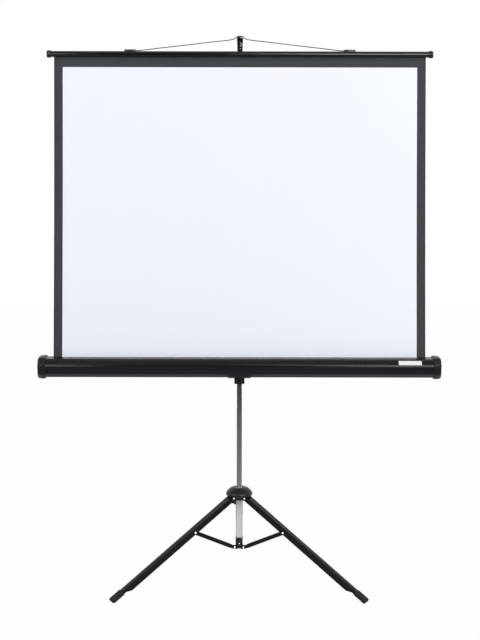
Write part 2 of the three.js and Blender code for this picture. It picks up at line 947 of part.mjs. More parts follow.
// Spring roller

const rollerBore = rollerRadius - rollerWall;

function ring(outer, inner, from, to, sides) {
  return alongX(disc(outer, sides, rollerY, rollerZ), from, to)
    .subtract(alongX(disc(inner, sides, rollerY, rollerZ), from - overrun, to + overrun));
}

const plugRadius = rollerBore - gap;
const axleBore = axleRadius + gap;
const axleEnd = caseHalfLength + capLength - capCrown - gap;
add('roller_tube', ring(rollerRadius, rollerBore, -rollerHalfLength, rollerHalfLength, fineSides), zinc);
add(
  'wound_fabric',
  ring(wrapRadius, rollerRadius + gap, -screenHalf, screenHalf, fineSides),
  cloth,
);
const plugStart = rollerHalfLength - rollerPlugLength;
add('roller_plug_left', ring(plugRadius, axleBore, -rollerHalfLength, -plugStart, plainSides), black);
add('roller_plug_right', ring(plugRadius, axleBore, plugStart, rollerHalfLength, plainSides), black);
add(
  'spring_axle',
  alongX(disc(axleRadius, smallSides, rollerY, rollerZ), -axleEnd, -axleEnd + springAxleLength),
  zinc,
);
add(
  'idler_axle',
  alongX(disc(axleRadius, smallSides, rollerY, rollerZ), plugStart - axleShoulder, axleEnd),
  zinc,
);
const springStart = -plugStart + gap;
add(
  'torsion_spring',
  ring(springOuter, springInner, springStart, springStart + springLength, plainSides),
  springSteel,
);

// Screen fabric, hanging from the bar down to where it leaves the roller
const fabricTopZ = barZ - barRadius - gap;
add(
  'screen_fabric',
  block(-screenHalf, screenHalf, -fabricFront, fabricBack, rollerZ, fabricTopZ),
  cloth,
);

// Top bar

add(
  'top_bar',
  alongX(disc(barRadius, fineSides, fabricMiddle, barZ), -barHalfLength, barHalfLength)
    .subtract(
      alongX(
        disc(barRadius - barWall, fineSides, fabricMiddle, barZ),
        -barHalfLength - overrun,
        barHalfLength + overrun,
      ),
    ),
  satinBlack,
);

// A round cap with a spigot, on the end of the bar at +X
function barCap() {
  const start = barHalfLength + gap;
  const profile = [
    [0, -barCapSpigot],
    [barRadius - barWall - gap, -barCapSpigot],
    [barRadius - barWall - gap, 0],
    [barCapRadius, 0],
    [barCapRadius, barCapLength - barCapCrown],
    [barCapRadius - barCapCrown * barCapCrownShare, barCapLength - barCapCrown * barCapCrownShare],
    [barCapRadius - barCapCrown, barCapLength],
    [0, barCapLength],
  ];
  return turned(profile, fineSides).rotate([0, 90, 0]).translate([start, fabricMiddle, barZ]);
}

const rightBarCap = barCap();
add('bar_cap_right', rightBarCap, black);
add('bar_cap_left', rightBarCap.mirror([1, 0, 0]), black);

const clipInnerX = clipCentreX - clipLength / 2;
const wireEndZ = barZ + clipWireRise;

// A clip that sits on the bar and grips one end of the wire
function wireClip() {
  const half = clipWidth / 2;
  const low = barZ + barRadius - clipSeatDrop;
  const high = barZ + barRadius + clipRise;
  const sideways = disc(wireRadius + gap, smallSides, fabricMiddle, wireEndZ);
  return alongX(
    rounded(fabricMiddle - half, fabricMiddle + half, low, high, half * clipRoundShare),
    clipInnerX,
    clipInnerX + clipLength,
  )
    .subtract(alongX(disc(barRadius + gap, fineSides, fabricMiddle, barZ), 0, barHalfLength))
    .subtract(alongX(sideways, 0, clipInnerX + wireGrip));
}

const rightClip = wireClip();
add('wire_clip_right', rightClip, black);
add('wire_clip_left', rightClip.mirror([1, 0, 0]), black);

// Hanging wire, leaning back from the bar to where it rides over the arch of the hook

const archTopZ = barZ + hookRise;
const hookHalf = hookWidth / 2;
const wireRideY = fabricMiddle + wireLean;

function archDrop(x) {
  return hookArch - Math.sqrt(hookArch ** 2 - x ** 2);
}

// A path stepped evenly between its points, so that its short bends stay smooth
class BentPath extends THREE.CatmullRomCurve3 {
  getUtoTmapping(share) {
    return share;
  }
}

function hangingWire() {
  const ride = wireRadius + gap;
  const half = [];
  const straightEnd = clipInnerX + wireGrip - gap;
  half.push([straightEnd, fabricMiddle, wireEndZ]);
  half.push([clipInnerX - wireGrip, fabricMiddle, wireEndZ]);
  const shoulderZ = archTopZ - wireShoulderDrop - ride;
  for (const share of wireSagShares) {
    const x = clipInnerX + (wireShoulderX - clipInnerX) * share;
    const sag = wireSag * 4 * share * (1 - share);
    half.push([x, fabricMiddle + wireLean * share, wireEndZ + (shoulderZ - wireEndZ) * share - sag]);
  }
  half.push([wireShoulderX, wireRideY, shoulderZ]);
  const edgeX = hookHalf;
  const nearX = hookHalf / 2;
  half.push([edgeX, wireRideY, archTopZ + ride - archDrop(edgeX) + wireEdgeLift]);
  half.push([nearX, wireRideY, archTopZ + ride - archDrop(nearX) + wireEdgeLift / 4]);
  const points = half.map(([x, y, z]) => new THREE.Vector3(-x, y, z));
  points.push(new THREE.Vector3(0, wireRideY, archTopZ + ride));
  for (const [x, y, z] of half.reverse()) {
    points.push(new THREE.Vector3(x, y, z));
  }
  return solidOf(
    new THREE.ExtrudeGeometry(disc(wireRadius, wireSides), {
      steps: wireSteps,
      bevelEnabled: false,
      extrudePath: new BentPath(points, false, 'centripetal'),
    }),
  );
}

add('hanging_wire', hangingWire(), satinBlack);

// The two tubes that telescope out of the mast, the guide between them and the hook

add(
  'middle_tube',
  squareTube(
    middleWidth,
    mastCorner - innerWall / 2,
    innerWall,
    middleBottomZ,
    middleBottomZ + middleLength,
  ),
  zinc,
);

function middleGuide() {
  const half = middleGuideWidth / 2;
  const tubeTop = middleBottomZ + middleLength;
  const top = tubeTop + middleGuideLid;
  const bottom = top - middleGuideHeight;
  const wide = middleHalf + gap;
  const slim = extensionHalf + gap;
  return alongZ(rounded(-half, half, -half, half, mastCorner * 2), bottom, top)
    .subtract(alongZ(rounded(-wide, wide, -wide, wide, mastCorner), bottom - overrun, tubeTop + gap))
    .subtract(alongZ(rounded(-slim, slim, -slim, slim, mastCorner), bottom, top + overrun));
}

add('middle_guide', middleGuide(), black);

const extensionBottomZ = extensionTopZ - extensionLength;
const extensionCapHalf = extensionCapWidth / 2;
const extensionCapTopZ = extensionTopZ + extensionCapLid;
const hookPlateY = -extensionCapHalf - gap;
add(
  'extension_tube',
  squareTube(extensionWidth, mastCorner - innerWall / 2, innerWall, extensionBottomZ, extensionTopZ),
  chrome,
);

function extensionCap() {
  const half = extensionCapHalf;
  const bore = extensionHalf + gap;
  return alongZ(
    rounded(-half, half, -half, half, mastCorner),
    extensionCapTopZ - extensionCapHeight,
    extensionCapTopZ,
  ).subtract(
    alongZ(
      rounded(-bore, bore, -bore, bore, mastCorner),
      extensionCapTopZ - extensionCapHeight - overrun,
      extensionTopZ + gap,
    ),
  );
}

add('extension_cap', extensionCap(), black);

// A strip that runs forward from the cap, arched across its width. Its lip is short, so
// that the wire, once lifted off the arch, passes under it.
function hook() {
  const arch = [];
  for (let i = 0; i <= smallSides; i += 1) {
    const x = hookHalf * (1 - (2 * i) / smallSides);
    arch.push([x, archTopZ - archDrop(x)]);
  }
  for (let i = smallSides; i >= 0; i -= 1) {
    const x = hookHalf * (1 - (2 * i) / smallSides);
    arch.push([x, archTopZ - hookStrip - archDrop(x)]);
  }
  const lipY = wireRideY - hookLipOut;
  const lipLow = archTopZ - hookLipDrop;
  const corner = hookHalf * hookRoundShare;
  const lip = rounded(-hookHalf, hookHalf, lipLow, archTopZ + hookLipRise, corner);
  const plateLow = archTopZ - hookPlateDrop;
  const headTop = archTopZ - archDrop(hookHalf);
  const head = rounded(-hookHalf, hookHalf, archTopZ - hookHeadDrop, headTop, corner);
  const plateHalf = hookPlateWidth / 2;
  const plate = rounded(-plateHalf, plateHalf, plateLow, archTopZ - archDrop(plateHalf), corner);
  const ribY = wireRideY + hookRibBack;
  const rib = block(
    -hookHalf / 2,
    hookHalf / 2,
    ribY,
    ribY + hookRib,
    archTopZ - hookStrip,
    archTopZ + hookRib,
  );
  return alongY(outline(arch), lipY, hookPlateY)
    .add(alongY(lip, lipY - hookStrip, lipY))
    .add(alongY(head, hookPlateY - hookStrip, hookPlateY))
    .add(alongY(plate, hookPlateY - hookStrip, hookPlateY))
    .add(rib);
}

add('wire_hook', hook(), satinBlack);

function hookScrew(rise) {
  const face = hookPlateY - hookStrip;
  const z = archTopZ - hookPlateDrop + rise;
  return alongY(disc(hookScrewRadius, smallSides, 0, z), face - pinHeadHeight, face - gap);
}

add('hook_screw_lower', hookScrew(hookScrewInset), chrome);
add('hook_screw_upper', hookScrew(hookScrewInset + hookScrewSpacing), chrome);

// Set the screen down with the middle of its footprint over the origin
screen.updateMatrixWorld(true);
const bounds = new THREE.Box3().setFromObject(screen, true);
const middle = bounds.getCenter(new THREE.Vector3());
screen.position.set(-middle.x, -middle.y, -bounds.min.z);

export default screen;
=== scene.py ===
"""Tripod projection screen: the looks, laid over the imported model."""

import json
import math
import bmesh
import bpy
from bpy.props import FloatProperty, FloatVectorProperty, PointerProperty
from mathutils import Matrix, Vector


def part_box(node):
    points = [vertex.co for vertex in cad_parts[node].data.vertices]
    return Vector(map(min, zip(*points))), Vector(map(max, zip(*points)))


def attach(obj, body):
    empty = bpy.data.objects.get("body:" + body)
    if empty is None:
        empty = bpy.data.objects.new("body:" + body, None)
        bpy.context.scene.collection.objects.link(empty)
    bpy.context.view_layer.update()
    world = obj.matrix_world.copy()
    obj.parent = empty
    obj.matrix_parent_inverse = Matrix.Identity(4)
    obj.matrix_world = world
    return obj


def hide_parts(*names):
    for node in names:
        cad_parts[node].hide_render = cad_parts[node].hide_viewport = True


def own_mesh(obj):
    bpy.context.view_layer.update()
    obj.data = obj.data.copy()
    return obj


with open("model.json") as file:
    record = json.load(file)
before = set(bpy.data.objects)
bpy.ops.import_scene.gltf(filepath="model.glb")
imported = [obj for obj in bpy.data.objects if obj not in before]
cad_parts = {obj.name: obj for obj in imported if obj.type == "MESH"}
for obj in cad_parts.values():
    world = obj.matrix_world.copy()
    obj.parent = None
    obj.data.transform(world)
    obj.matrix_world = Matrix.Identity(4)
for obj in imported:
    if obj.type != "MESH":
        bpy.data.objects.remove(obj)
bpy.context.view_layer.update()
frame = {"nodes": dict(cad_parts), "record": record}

bl_info = {
    "name": "Tripod Projection Screen",
    "version": (1, 0, 0),
    "blender": (4, 5, 0),
    "location": "View3D > Sidebar > Screen",
    "description": "Dresses a packed tripod projection screen with cloth, paint, plastic and steel",
    "category": "Object",
}

NODES = frame["nodes"]
LEG_SIDES = ("left", "right", "rear")
FINISHES = {}
TREES = {}
MM = 0.001
SAME_PLACE = 1e-7
THREAD_PITCH = 0.00055
BAR_SIDES = 64
DOME_SIDES = 96

# Edges that turn by more than these angles, in degrees, are shaded sharp.
SHARP_ANGLE = 38.0
ROUND_ANGLE = 50.0


def centre(node):
    low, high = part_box(node)
    return (low + high) / 2


MAST = centre("mast_tube")


# Settings


class ClothSettings(bpy.types.PropertyGroup):
    side_border: FloatProperty(
        name="Side Border",
        description="Width of the black border down each side of the cloth",
        default=0.035,
        min=0.0,
        unit="LENGTH",
    )
    top_border: FloatProperty(
        name="Top Border",
        description="Height of the black border under the top bar",
        default=0.040,
        min=0.0,
        unit="LENGTH",
    )
    waist: FloatProperty(
        name="Waist",
        description="How far each side of the stretched cloth draws in at mid height",
        default=0.0012,
        min=0.0,
        unit="LENGTH",
    )
    ripple: FloatProperty(
        name="Ripple",
        description="Depth of the slow waves across the hanging cloth",
        default=0.0007,
        min=0.0,
        unit="LENGTH",
    )
    white: FloatVectorProperty(
        name="White",
        description="Colour of the matt projection face",
        default=(0.82, 0.848, 0.905),
        subtype="COLOR",
        min=0.0,
        max=1.0,
    )
    black: FloatVectorProperty(
        name="Black",
        description="Colour of the printed border and of the backing",
        default=(0.031, 0.0325, 0.036),
        subtype="COLOR",
        min=0.0,
        max=1.0,
    )


class CaseSettings(bpy.types.PropertyGroup):
    wall: FloatProperty(
        name="Sheet Thickness",
        description="Thickness of the folded sheet of the case",
        default=0.0016,
        min=0.0005,
        unit="LENGTH",
    )
    fold_radius: FloatProperty(
        name="Fold Radius",
        description="Outer radius of the ordinary folds of the case",
        default=0.0022,
        min=0.0001,
        unit="LENGTH",
    )
    lip_radius: FloatProperty(
        name="Lip Radius",
        description="Outer radius of the rounded lip along the top front edge",
        default=0.006,
        min=0.0001,
        unit="LENGTH",
    )
    nose_radius: FloatProperty(
        name="Nose Radius",
        description="Outer radius of the bead that runs along the front of the case",
        default=0.0034,
        min=0.0001,
        unit="LENGTH",
    )
    paint: FloatVectorProperty(
        name="Paint",
        description="Colour of the satin paint on the case and the legs",
        default=(0.0052, 0.0054, 0.0066),
        subtype="COLOR",
        min=0.0,
        max=1.0,
    )
    plastic: FloatVectorProperty(
        name="Plastic",
        description="Colour of the moulded plastic fittings",
        default=(0.0052, 0.0054, 0.0062),
        subtype="COLOR",
        min=0.0,
        max=1.0,
    )


class MetalSettings(bpy.types.PropertyGroup):
    zinc: FloatVectorProperty(
        name="Zinc",
        description="Colour of the plated mast tubes",
        default=(0.65, 0.66, 0.67),
        subtype="COLOR",
        min=0.0,
        max=1.0,
    )
    bright: FloatVectorProperty(
        name="Bright Steel",
        description="Colour of the rivets, pins and screws",
        default=(0.78, 0.78, 0.79),
        subtype="COLOR",
        min=0.0,
        max=1.0,
    )
    head_height: FloatProperty(
        name="Head Height",
        description="How far a rivet's domed head stands proud",
        default=0.002,
        min=0.0002,
        unit="LENGTH",
    )


class StageSettings(bpy.types.PropertyGroup):
    distance: FloatProperty(
        name="Camera Distance",
        description="From the camera to the mast, along the floor",
        default=4.882,
        min=0.5,
        unit="LENGTH",
    )
    height: FloatProperty(
        name="Camera Height",
        description="Height of the camera above the floor",
        default=1.505,
        min=0.1,
        unit="LENGTH",
    )
    focal_share: FloatProperty(
        name="Focal Length",
        description="Focal length as a share of the picture's height",
        default=1.8592,
        min=0.1,
    )
    horizon_share: FloatProperty(
        name="Horizon",
        description="Height of the horizon above the picture's middle, as a share of its height",
        default=0.1672,
        min=0.0,
    )
    side_shift: FloatProperty(
        name="Sideways Place",
        description="How far the camera stands to the right of the mast",
        default=0.0012,
        unit="LENGTH",
    )
    roll: FloatProperty(
        name="Camera Roll",
        description="Turn of the camera about its line of sight",
        default=math.radians(0.10),
        subtype="ANGLE",
    )
    floor_colour: FloatVectorProperty(
        name="Floor",
        description="Colour of the floor",
        default=(0.46, 0.46, 0.46),
        subtype="COLOR",
        min=0.0,
        max=1.0,
    )
    room_light: FloatProperty(
        name="Room Light",
        description="Strength of the even light from all round",
        default=0.62,
        min=0.0,
    )


# Meshes


def put_in_scene(name, mesh):
    piece = bpy.data.objects.new(name, mesh)
    bpy.context.scene.collection.objects.link(piece)
    return piece


def mesh_from(name, shape):
    mesh = bpy.data.meshes.new(name)
    shape.to_mesh(mesh)
    shape.free()
    return mesh


def paint(mesh, finishes):
    if mesh.materials:
        mesh.materials.clear()
    for name in finishes:
        mesh.materials.append(FINISHES[name])


def dress(piece, body, slot, nodes, finishes=()):
    """Gives a piece its finishes, or else its slot's own, and hangs it on its body."""
    paint(piece.data, finishes or (slot,))
    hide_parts(*nodes)
    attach(piece, body)


def smooth(piece, angle=SHARP_ANGLE):
    piece.data.shade_smooth()
    piece.data.set_sharp_from_angle(angle=math.radians(angle))


def piece_from(name, shape, body, slot, node, angle=SHARP_ANGLE):
    """Makes a finished piece of a bmesh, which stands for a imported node."""
    piece = put_in_scene(name, mesh_from(name, shape))
    smooth(piece, angle)
    dress(piece, body, slot, (node,))


def settle(piece):
    """Turns the piece's modifiers into plain mesh."""
    view = bpy.context.evaluated_depsgraph_get()
    mesh = bpy.data.meshes.new_from_object(piece.evaluated_get(view))
    piece.modifiers.clear()
    piece.data = mesh


def merged_shape(node):
    """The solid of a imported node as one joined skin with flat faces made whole."""
    corner_gap = 0.02 * MM
    flat_angle = 0.4
    shape = bmesh.new()
    shape.from_mesh(NODES[node].data)
    bmesh.ops.remove_doubles(shape, verts=shape.verts, dist=corner_gap)
    bmesh.ops.dissolve_limit(
        shape,
        angle_limit=math.radians(flat_angle),
        verts=shape.verts,
        edges=shape.edges,
        delimit={"NORMAL"},
    )
    return shape


def softened(node, body, slot, width, segments=2, angle=40.0, name=None):
    """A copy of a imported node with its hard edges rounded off."""
    own_name = node + "_soft"
    piece = put_in_scene(name or own_name, mesh_from(own_name, merged_shape(node)))
    bevel = piece.modifiers.new("edges", "BEVEL")
    bevel.width = width
    bevel.segments = segments
    bevel.limit_method = "ANGLE"
    bevel.angle_limit = math.radians(angle)
    settle(piece)
    smooth(piece)
    dress(piece, body, slot, (node,))


def lathed(profile, sides, place):
    """Spins (radius, height) points round Z and moves the result to its place.

    A profile runs from pole to pole, or ends where it starts.
    """
    shape = bmesh.new()
    turns = [2 * math.pi * i / sides for i in range(sides)]
    rings = []
    for radius, height in profile:
        if radius < SAME_PLACE:
            rings.append([shape.verts.new((0, 0, height))])
            continue
        spots = [(radius * math.cos(t), radius * math.sin(t), height) for t in turns]
        rings.append([shape.verts.new(spot) for spot in spots])
    for low, high in zip(rings, rings[1:]):
        for i in range(sides):
            j = (i + 1) % sides
            if len(low) == 1:
                shape.faces.new((low[0], high[j], high[i]))
            elif len(high) == 1:
                shape.faces.new((low[i], low[j], high[0]))
            else:
                shape.faces.new((low[i], low[j], high[j], high[i]))
    shape.transform(place)
    bmesh.ops.remove_doubles(shape, verts=shape.verts, dist=SAME_PLACE)
    bmesh.ops.recalc_face_normals(shape, faces=shape.faces)
    return shape


def filleted(corners, radii, steps):
    """Rounds the inner corners of an open line of (a, b) points."""
    room = 0.48
    points = [corners[0]]
    for i in range(1, len(corners) - 1):
        before, here, after = (Vector(corners[k]) for k in (i - 1, i, i + 1))
        back = (before - here).normalized()
        ahead = (after - here).normalized()
        half = math.acos(max(-1.0, min(1.0, back.dot(ahead)))) / 2
        reach = min(
            radii[i] / math.tan(half),
            room * (before - here).length,
            room * (after - here).length,
        )
        radius = reach * math.tan(half)
        middle = here + (back + ahead).normalized() * (radius / math.sin(half))
        start = here + back * reach - middle
        end = here + ahead * reach - middle
        first = math.atan2(start.y, start.x)
        turn = math.atan2(end.y, end.x) - first
        turn = (turn + math.pi) % (2 * math.pi) - math.pi
        for k in range(steps + 1):
            angle = first + turn * k / steps
            out = Vector((math.cos(angle), math.sin(angle)))
            points.append(tuple(middle + out * radius))
    points.append(corners[-1])
    return points


# Shader nodes, and the groups that the finishes share


def feed(tree, value, socket):
    """Links a socket to another, or gives it a plain value."""
    if isinstance(value, bpy.types.NodeSocket):
        tree.links.new(value, socket)
    else:
        socket.default_value = value


def node_group(name, inputs, outputs, kind="ShaderNodeTree"):
    """A new group, the sockets that it is given, and the sockets that it gives out."""
    tree = bpy.data.node_groups.new(name, kind)
    for label, kind, value in inputs:
        socket = tree.interface.new_socket(label, in_out="INPUT", socket_type=kind)
        if value is not None:
            socket.default_value = value
    for label, kind in outputs:
        tree.interface.new_socket(label, in_out="OUTPUT", socket_type=kind)
    given = tree.nodes.new("NodeGroupInput").outputs
    return tree, given, tree.nodes.new("NodeGroupOutput").inputs


def noise(tree, place, scale, detail=3.0, roughness=0.5):
    node = tree.nodes.new("ShaderNodeTexNoise")
    node.inputs["Scale"].default_value = scale
    node.inputs["Detail"].default_value = detail
    node.inputs["Roughness"].default_value = roughness
    tree.links.new(place, node.inputs["Vector"])
    return node.outputs[0]


def maths(tree, operation, first, second, kind="ShaderNodeMath"):
    """A Math node, whose inputs are sockets or plain values."""
    node = tree.nodes.new(kind)
    node.operation = operation
    feed(tree, first, node.inputs[0])
    feed(tree, second, node.inputs[1])
    return node.outputs[0]


def vector_maths(tree, operation, first, second):
    return maths(tree, operation, first, second, "ShaderNodeVectorMath")


def along(tree, vector, axis):
    """How far a vector reaches along one axis."""
    node = tree.nodes.new("ShaderNodeSeparateXYZ")
    tree.links.new(vector, node.inputs[0])
    return node.outputs[axis]


def ramp(tree, value, low, high, low_out=0.0, high_out=1.0):
    node = tree.nodes.new("ShaderNodeMapRange")
    for label, number in (
        ("From Min", low),
        ("From Max", high),
        ("To Min", low_out),
        ("To Max", high_out),
    ):
        node.inputs[label].default_value = number
    tree.links.new(value, node.inputs["Value"])
    return node.outputs["Result"]


def blended(tree, share, first, second):
    """A colour mix, whose colours are sockets or plain colours."""
    colour_a, colour_b, colour_result = 6, 7, 2
    node = tree.nodes.new("ShaderNodeMix")
    node.data_type = "RGBA"
    tree.links.new(share, node.inputs["Factor"])
    feed(tree, first, node.inputs[colour_a])
    feed(tree, second, node.inputs[colour_b])
    return node.outputs[colour_result]


def opaque(colour, level=1.0):
    return (*(c * level for c in colour), 1.0)


def grain_group():
    """Fine moulded or sprayed grain: a height, and a roughness that wanders with it."""
    tree, given, out = node_group(
        "Fine Grain",
        [
            ("Place", "NodeSocketVector", None),
            ("Grain Size", "NodeSocketFloat", 0.0006),
            ("Roughness", "NodeSocketFloat", 0.4),
            ("Unevenness", "NodeSocketFloat", 0.06),
        ],
        [("Height", "NodeSocketFloat"), ("Roughness", "NodeSocketFloat")],
    )
    scaled = vector_maths(tree, "DIVIDE", given["Place"], given["Grain Size"])
    tree.links.new(noise(tree, scaled, 1.0, 2.0), out["Height"])
    slow = noise(tree, given["Place"], 14.0, 4.0, 0.6)
    wander = maths(tree, "SUBTRACT", slow, 0.5)
    wander = maths(tree, "MULTIPLY", wander, given["Unevenness"])
    wander = maths(tree, "MULTIPLY", wander, 2.0)
    wander = maths(tree, "ADD", wander, given["Roughness"])
    tree.links.new(wander, out["Roughness"])
    return tree


def drawn_group():
    """Fine lines along the way a tube or a profile was drawn."""
    tree, given, out = node_group(
        "Drawn Lines",
        [
            ("Place", "NodeSocketVector", None),
            ("Stretch", "NodeSocketVector", (1.0, 1.0, 0.01)),
            ("Line Size", "NodeSocketFloat", 0.0008),
        ],
        [("Height", "NodeSocketFloat"), ("Streaks", "NodeSocketFloat")],
    )
    stretched = vector_maths(tree, "MULTIPLY", given["Place"], given["Stretch"])
    scaled = vector_maths(tree, "DIVIDE", stretched, given["Line Size"])
    tree.links.new(noise(tree, scaled, 1.0, 3.0, 0.6), out["Height"])
    broad = noise(tree, scaled, 0.16, 2.0)
    tree.links.new(ramp(tree, broad, 0.3, 0.7), out["Streaks"])
    return tree


def dust_group():
    """A thin film that settles on what faces up, in patches."""
    tree, given, out = node_group(
        "Settled Dust",
        [
            ("Place", "NodeSocketVector", None),
            ("Base", "NodeSocketColor", (0.01, 0.01, 0.01, 1.0)),
            ("Dust", "NodeSocketColor", (0.12, 0.118, 0.112, 1.0)),
            ("Amount", "NodeSocketFloat", 0.12),
        ],
        [("Color", "NodeSocketColor")],
    )
    normal = tree.nodes.new("ShaderNodeNewGeometry").outputs["Normal"]
    upward = ramp(tree, along(tree, normal, "Z"), 0.35, 1.0)
    patches = noise(tree, given["Place"], 45.0, 5.0, 0.65)
    share = maths(tree, "MULTIPLY", upward, ramp(tree, patches, 0.38, 0.72))
    share = maths(tree, "MULTIPLY", share, given["Amount"])
    mixed = blended(tree, share, given["Base"], given["Dust"])
    tree.links.new(mixed, out["Color"])
    return tree


def weave_group():
    """Plain weave from two crossed waves, with a thread-to-thread tint."""
    tree, given, out = node_group(
        "Cloth Weave",
        [("Flat", "NodeSocketVector", None), ("Thread Pitch", "NodeSocketFloat", 0.0005)],
        [("Height", "NodeSocketFloat"), ("Tint", "NodeSocketFloat")],
    )
    turns = vector_maths(tree, "DIVIDE", given["Flat"], given["Thread Pitch"])
    waves = []
    for axis in ("X", "Y"):
        angle = maths(tree, "MULTIPLY", along(tree, turns, axis), math.pi)
        waves.append(maths(tree, "SINE", angle, 0.0))
    crossed = maths(tree, "MULTIPLY", *waves)
    tree.links.new(ramp(tree, crossed, -1.0, 1.0), out["Height"])
    tree.links.new(noise(tree, turns, 0.05, 3.0), out["Tint"])
    return tree


# Finishes


class Finish:
    """A material under construction: its tree, its shader and its object coordinates."""

    groups = {}

    def __init__(self, name):
        self.material = bpy.data.materials.new(name)
        self.material.use_nodes = True
        self.tree = self.material.node_tree
        self.shader = self.tree.nodes["Principled BSDF"]
        self.place = self.tree.nodes.new("ShaderNodeTexCoord").outputs["Object"]

    def set(self, **values):
        for label, value in values.items():
            self.shader.inputs[label.replace("_", " ")].default_value = value

    def link(self, value, label):
        self.tree.links.new(value, self.shader.inputs[label])

    def group(self, name, **values):
        node = self.tree.nodes.new("ShaderNodeGroup")
        node.node_tree = Finish.groups[name]
        for label, value in values.items():
            feed(self.tree, value, node.inputs[label.replace("_", " ")])
        return node.outputs

    def grain(self, size, roughness, unevenness):
        """Lays grain over the roughness, and gives its height."""
        grain = self.group(
            "grain",
            Place=self.place,
            Grain_Size=size,
            Roughness=roughness,
            Unevenness=unevenness,
        )
        self.link(grain["Roughness"], "Roughness")
        return grain["Height"]

    def lines(self, stretch, size):
        return self.group("drawn", Place=self.place, Stretch=stretch, Line_Size=size)

    def dusty(self, base, amount):
        dust = self.group("dust", Place=self.place, Base=base, Amount=amount)
        self.link(dust["Color"], "Base Color")

    def noise(self, **values):
        return noise(self.tree, self.place, **values)

    def bump(self, height, distance, strength):
        node = self.tree.nodes.new("ShaderNodeBump")
        node.inputs["Distance"].default_value = distance
        node.inputs["Strength"].default_value = strength
        self.tree.links.new(height, node.inputs["Height"])
        self.link(node.outputs["Normal"], "Normal")

    def show(self, shader):
        """Makes a shader the one that the surface shows."""
        output = self.tree.nodes["Material Output"]
        self.tree.links.new(shader.outputs[0], output.inputs["Surface"])


def make_groups():
    Finish.groups = {
        "grain": grain_group(),
        "drawn": drawn_group(),
        "dust": dust_group(),
        "weave": weave_group(),
    }


def satin_paint(name, colour, stretch, roughness, specular, coat, dust):
    """Satin paint over sheet steel: drawn lines show faintly under a sprayed grain."""
    lines_share = 0.35
    finish = Finish(name)
    tree = finish.tree
    grain = finish.grain(size=0.0011, roughness=roughness, unevenness=0.05)
    lines = finish.lines(stretch, size=0.0012)
    lighter = opaque([min(1.0, c * 1.5 + 0.001) for c in colour])
    streaked = blended(tree, lines["Streaks"], opaque(colour), lighter)
    finish.dusty(streaked, dust)
    height = maths(tree, "MULTIPLY", lines["Height"], lines_share)
    finish.bump(maths(tree, "ADD", height, grain), distance=0.02 * MM, strength=0.6)
    finish.set(Specular_IOR_Level=specular, Coat_Weight=coat, Coat_Roughness=0.14)
    return finish.material


def moulded_plastic(name, colour):
    """Moulded plastic with a fine spark-eroded grain."""
    finish = Finish(name)
    finish.dusty(opaque(colour), amount=0.05)
    grain = finish.grain(size=0.0007, roughness=0.32, unevenness=0.08)
    finish.bump(grain, distance=0.05 * MM, strength=0.7)
    finish.set(Specular_IOR_Level=0.26)
    return finish.material


def drawn_steel(name, colour, stretch, roughness, line_size=0.0009):
    """Plated steel tube with lines along its length and faint spangle."""
    finish = Finish(name)
    tree = finish.tree
    lines = finish.lines(stretch, line_size)
    spangle = tree.nodes.new("ShaderNodeTexVoronoi")
    spangle.inputs["Scale"].default_value = 160.0
    spangle_share = 0.12
    tree.links.new(finish.place, spangle.inputs["Vector"])
    cells = ramp(tree, spangle.outputs["Distance"], 0.0, 0.8)
    dull = opaque(colour, level=0.80)
    tone = blended(tree, lines["Streaks"], dull, opaque(colour))
    tone = blended(tree, maths(tree, "MULTIPLY", cells, spangle_share), tone, dull)
    finish.link(tone, "Base Color")
    rough = ramp(tree, lines["Height"], 0.3, 0.7, roughness - 0.03, roughness + 0.04)
    finish.link(rough, "Roughness")
    finish.bump(lines["Height"], distance=0.01 * MM, strength=0.4)
    finish.set(Metallic=1.0)
    return finish.material


def bright_steel(name, colour):
    """Small plated fasteners with a little handling wear."""
    finish = Finish(name)
    scuffs = finish.noise(scale=900.0, detail=4.0, roughness=0.7)
    share = ramp(finish.tree, scuffs, 0.45, 0.75)
    tone = blended(finish.tree, share, opaque(colour), opaque(colour, level=0.72))
    finish.link(tone, "Base Color")
    finish.link(ramp(finish.tree, scuffs, 0.3, 0.8, 0.18, 0.36), "Roughness")
    finish.set(Metallic=1.0)
    return finish.material


def gloss_paint(name, colour):
    """Gloss paint on the bar and the hook, with a soft orange peel."""
    finish = Finish(name)
    finish.dusty(opaque(colour), amount=0.08)
    peel = finish.grain(size=0.0022, roughness=0.16, unevenness=0.04)
    finish.bump(peel, distance=0.012 * MM, strength=0.5)
    finish.set(Specular_IOR_Level=0.12, Coat_Weight=0.36, Coat_Roughness=0.10)
    return finish.material


def rubber(name):
    """Moulded rubber with a patchy grey bloom."""
    finish = Finish(name)
    bloom = finish.noise(scale=70.0, detail=5.0, roughness=0.6)
    share = ramp(finish.tree, bloom, 0.45, 0.8)
    fresh = (0.0065, 0.0066, 0.0072, 1.0)
    bloomed = (0.014, 0.014, 0.0142, 1.0)
    finish.link(blended(finish.tree, share, fresh, bloomed), "Base Color")
    grain = finish.grain(size=0.0008, roughness=0.72, unevenness=0.10)
    finish.bump(grain, distance=0.08 * MM, strength=0.7)
    finish.set(Specular_IOR_Level=0.2)
    return finish.material


def label_paper(name):
    """Coated paper with a faint fibre."""
    finish = Finish(name)
    fibre = finish.noise(scale=1500.0, detail=4.0, roughness=0.7)
    share = ramp(finish.tree, fibre, 0.3, 0.7)
    tones = (0.66, 0.66, 0.66, 1.0), (0.71, 0.71, 0.705, 1.0)
    finish.link(blended(finish.tree, share, *tones), "Base Color")
    finish.link(ramp(finish.tree, fibre, 0.3, 0.7, 0.42, 0.55), "Roughness")
    finish.bump(fibre, distance=0.01 * MM, strength=0.3)
    return finish.material


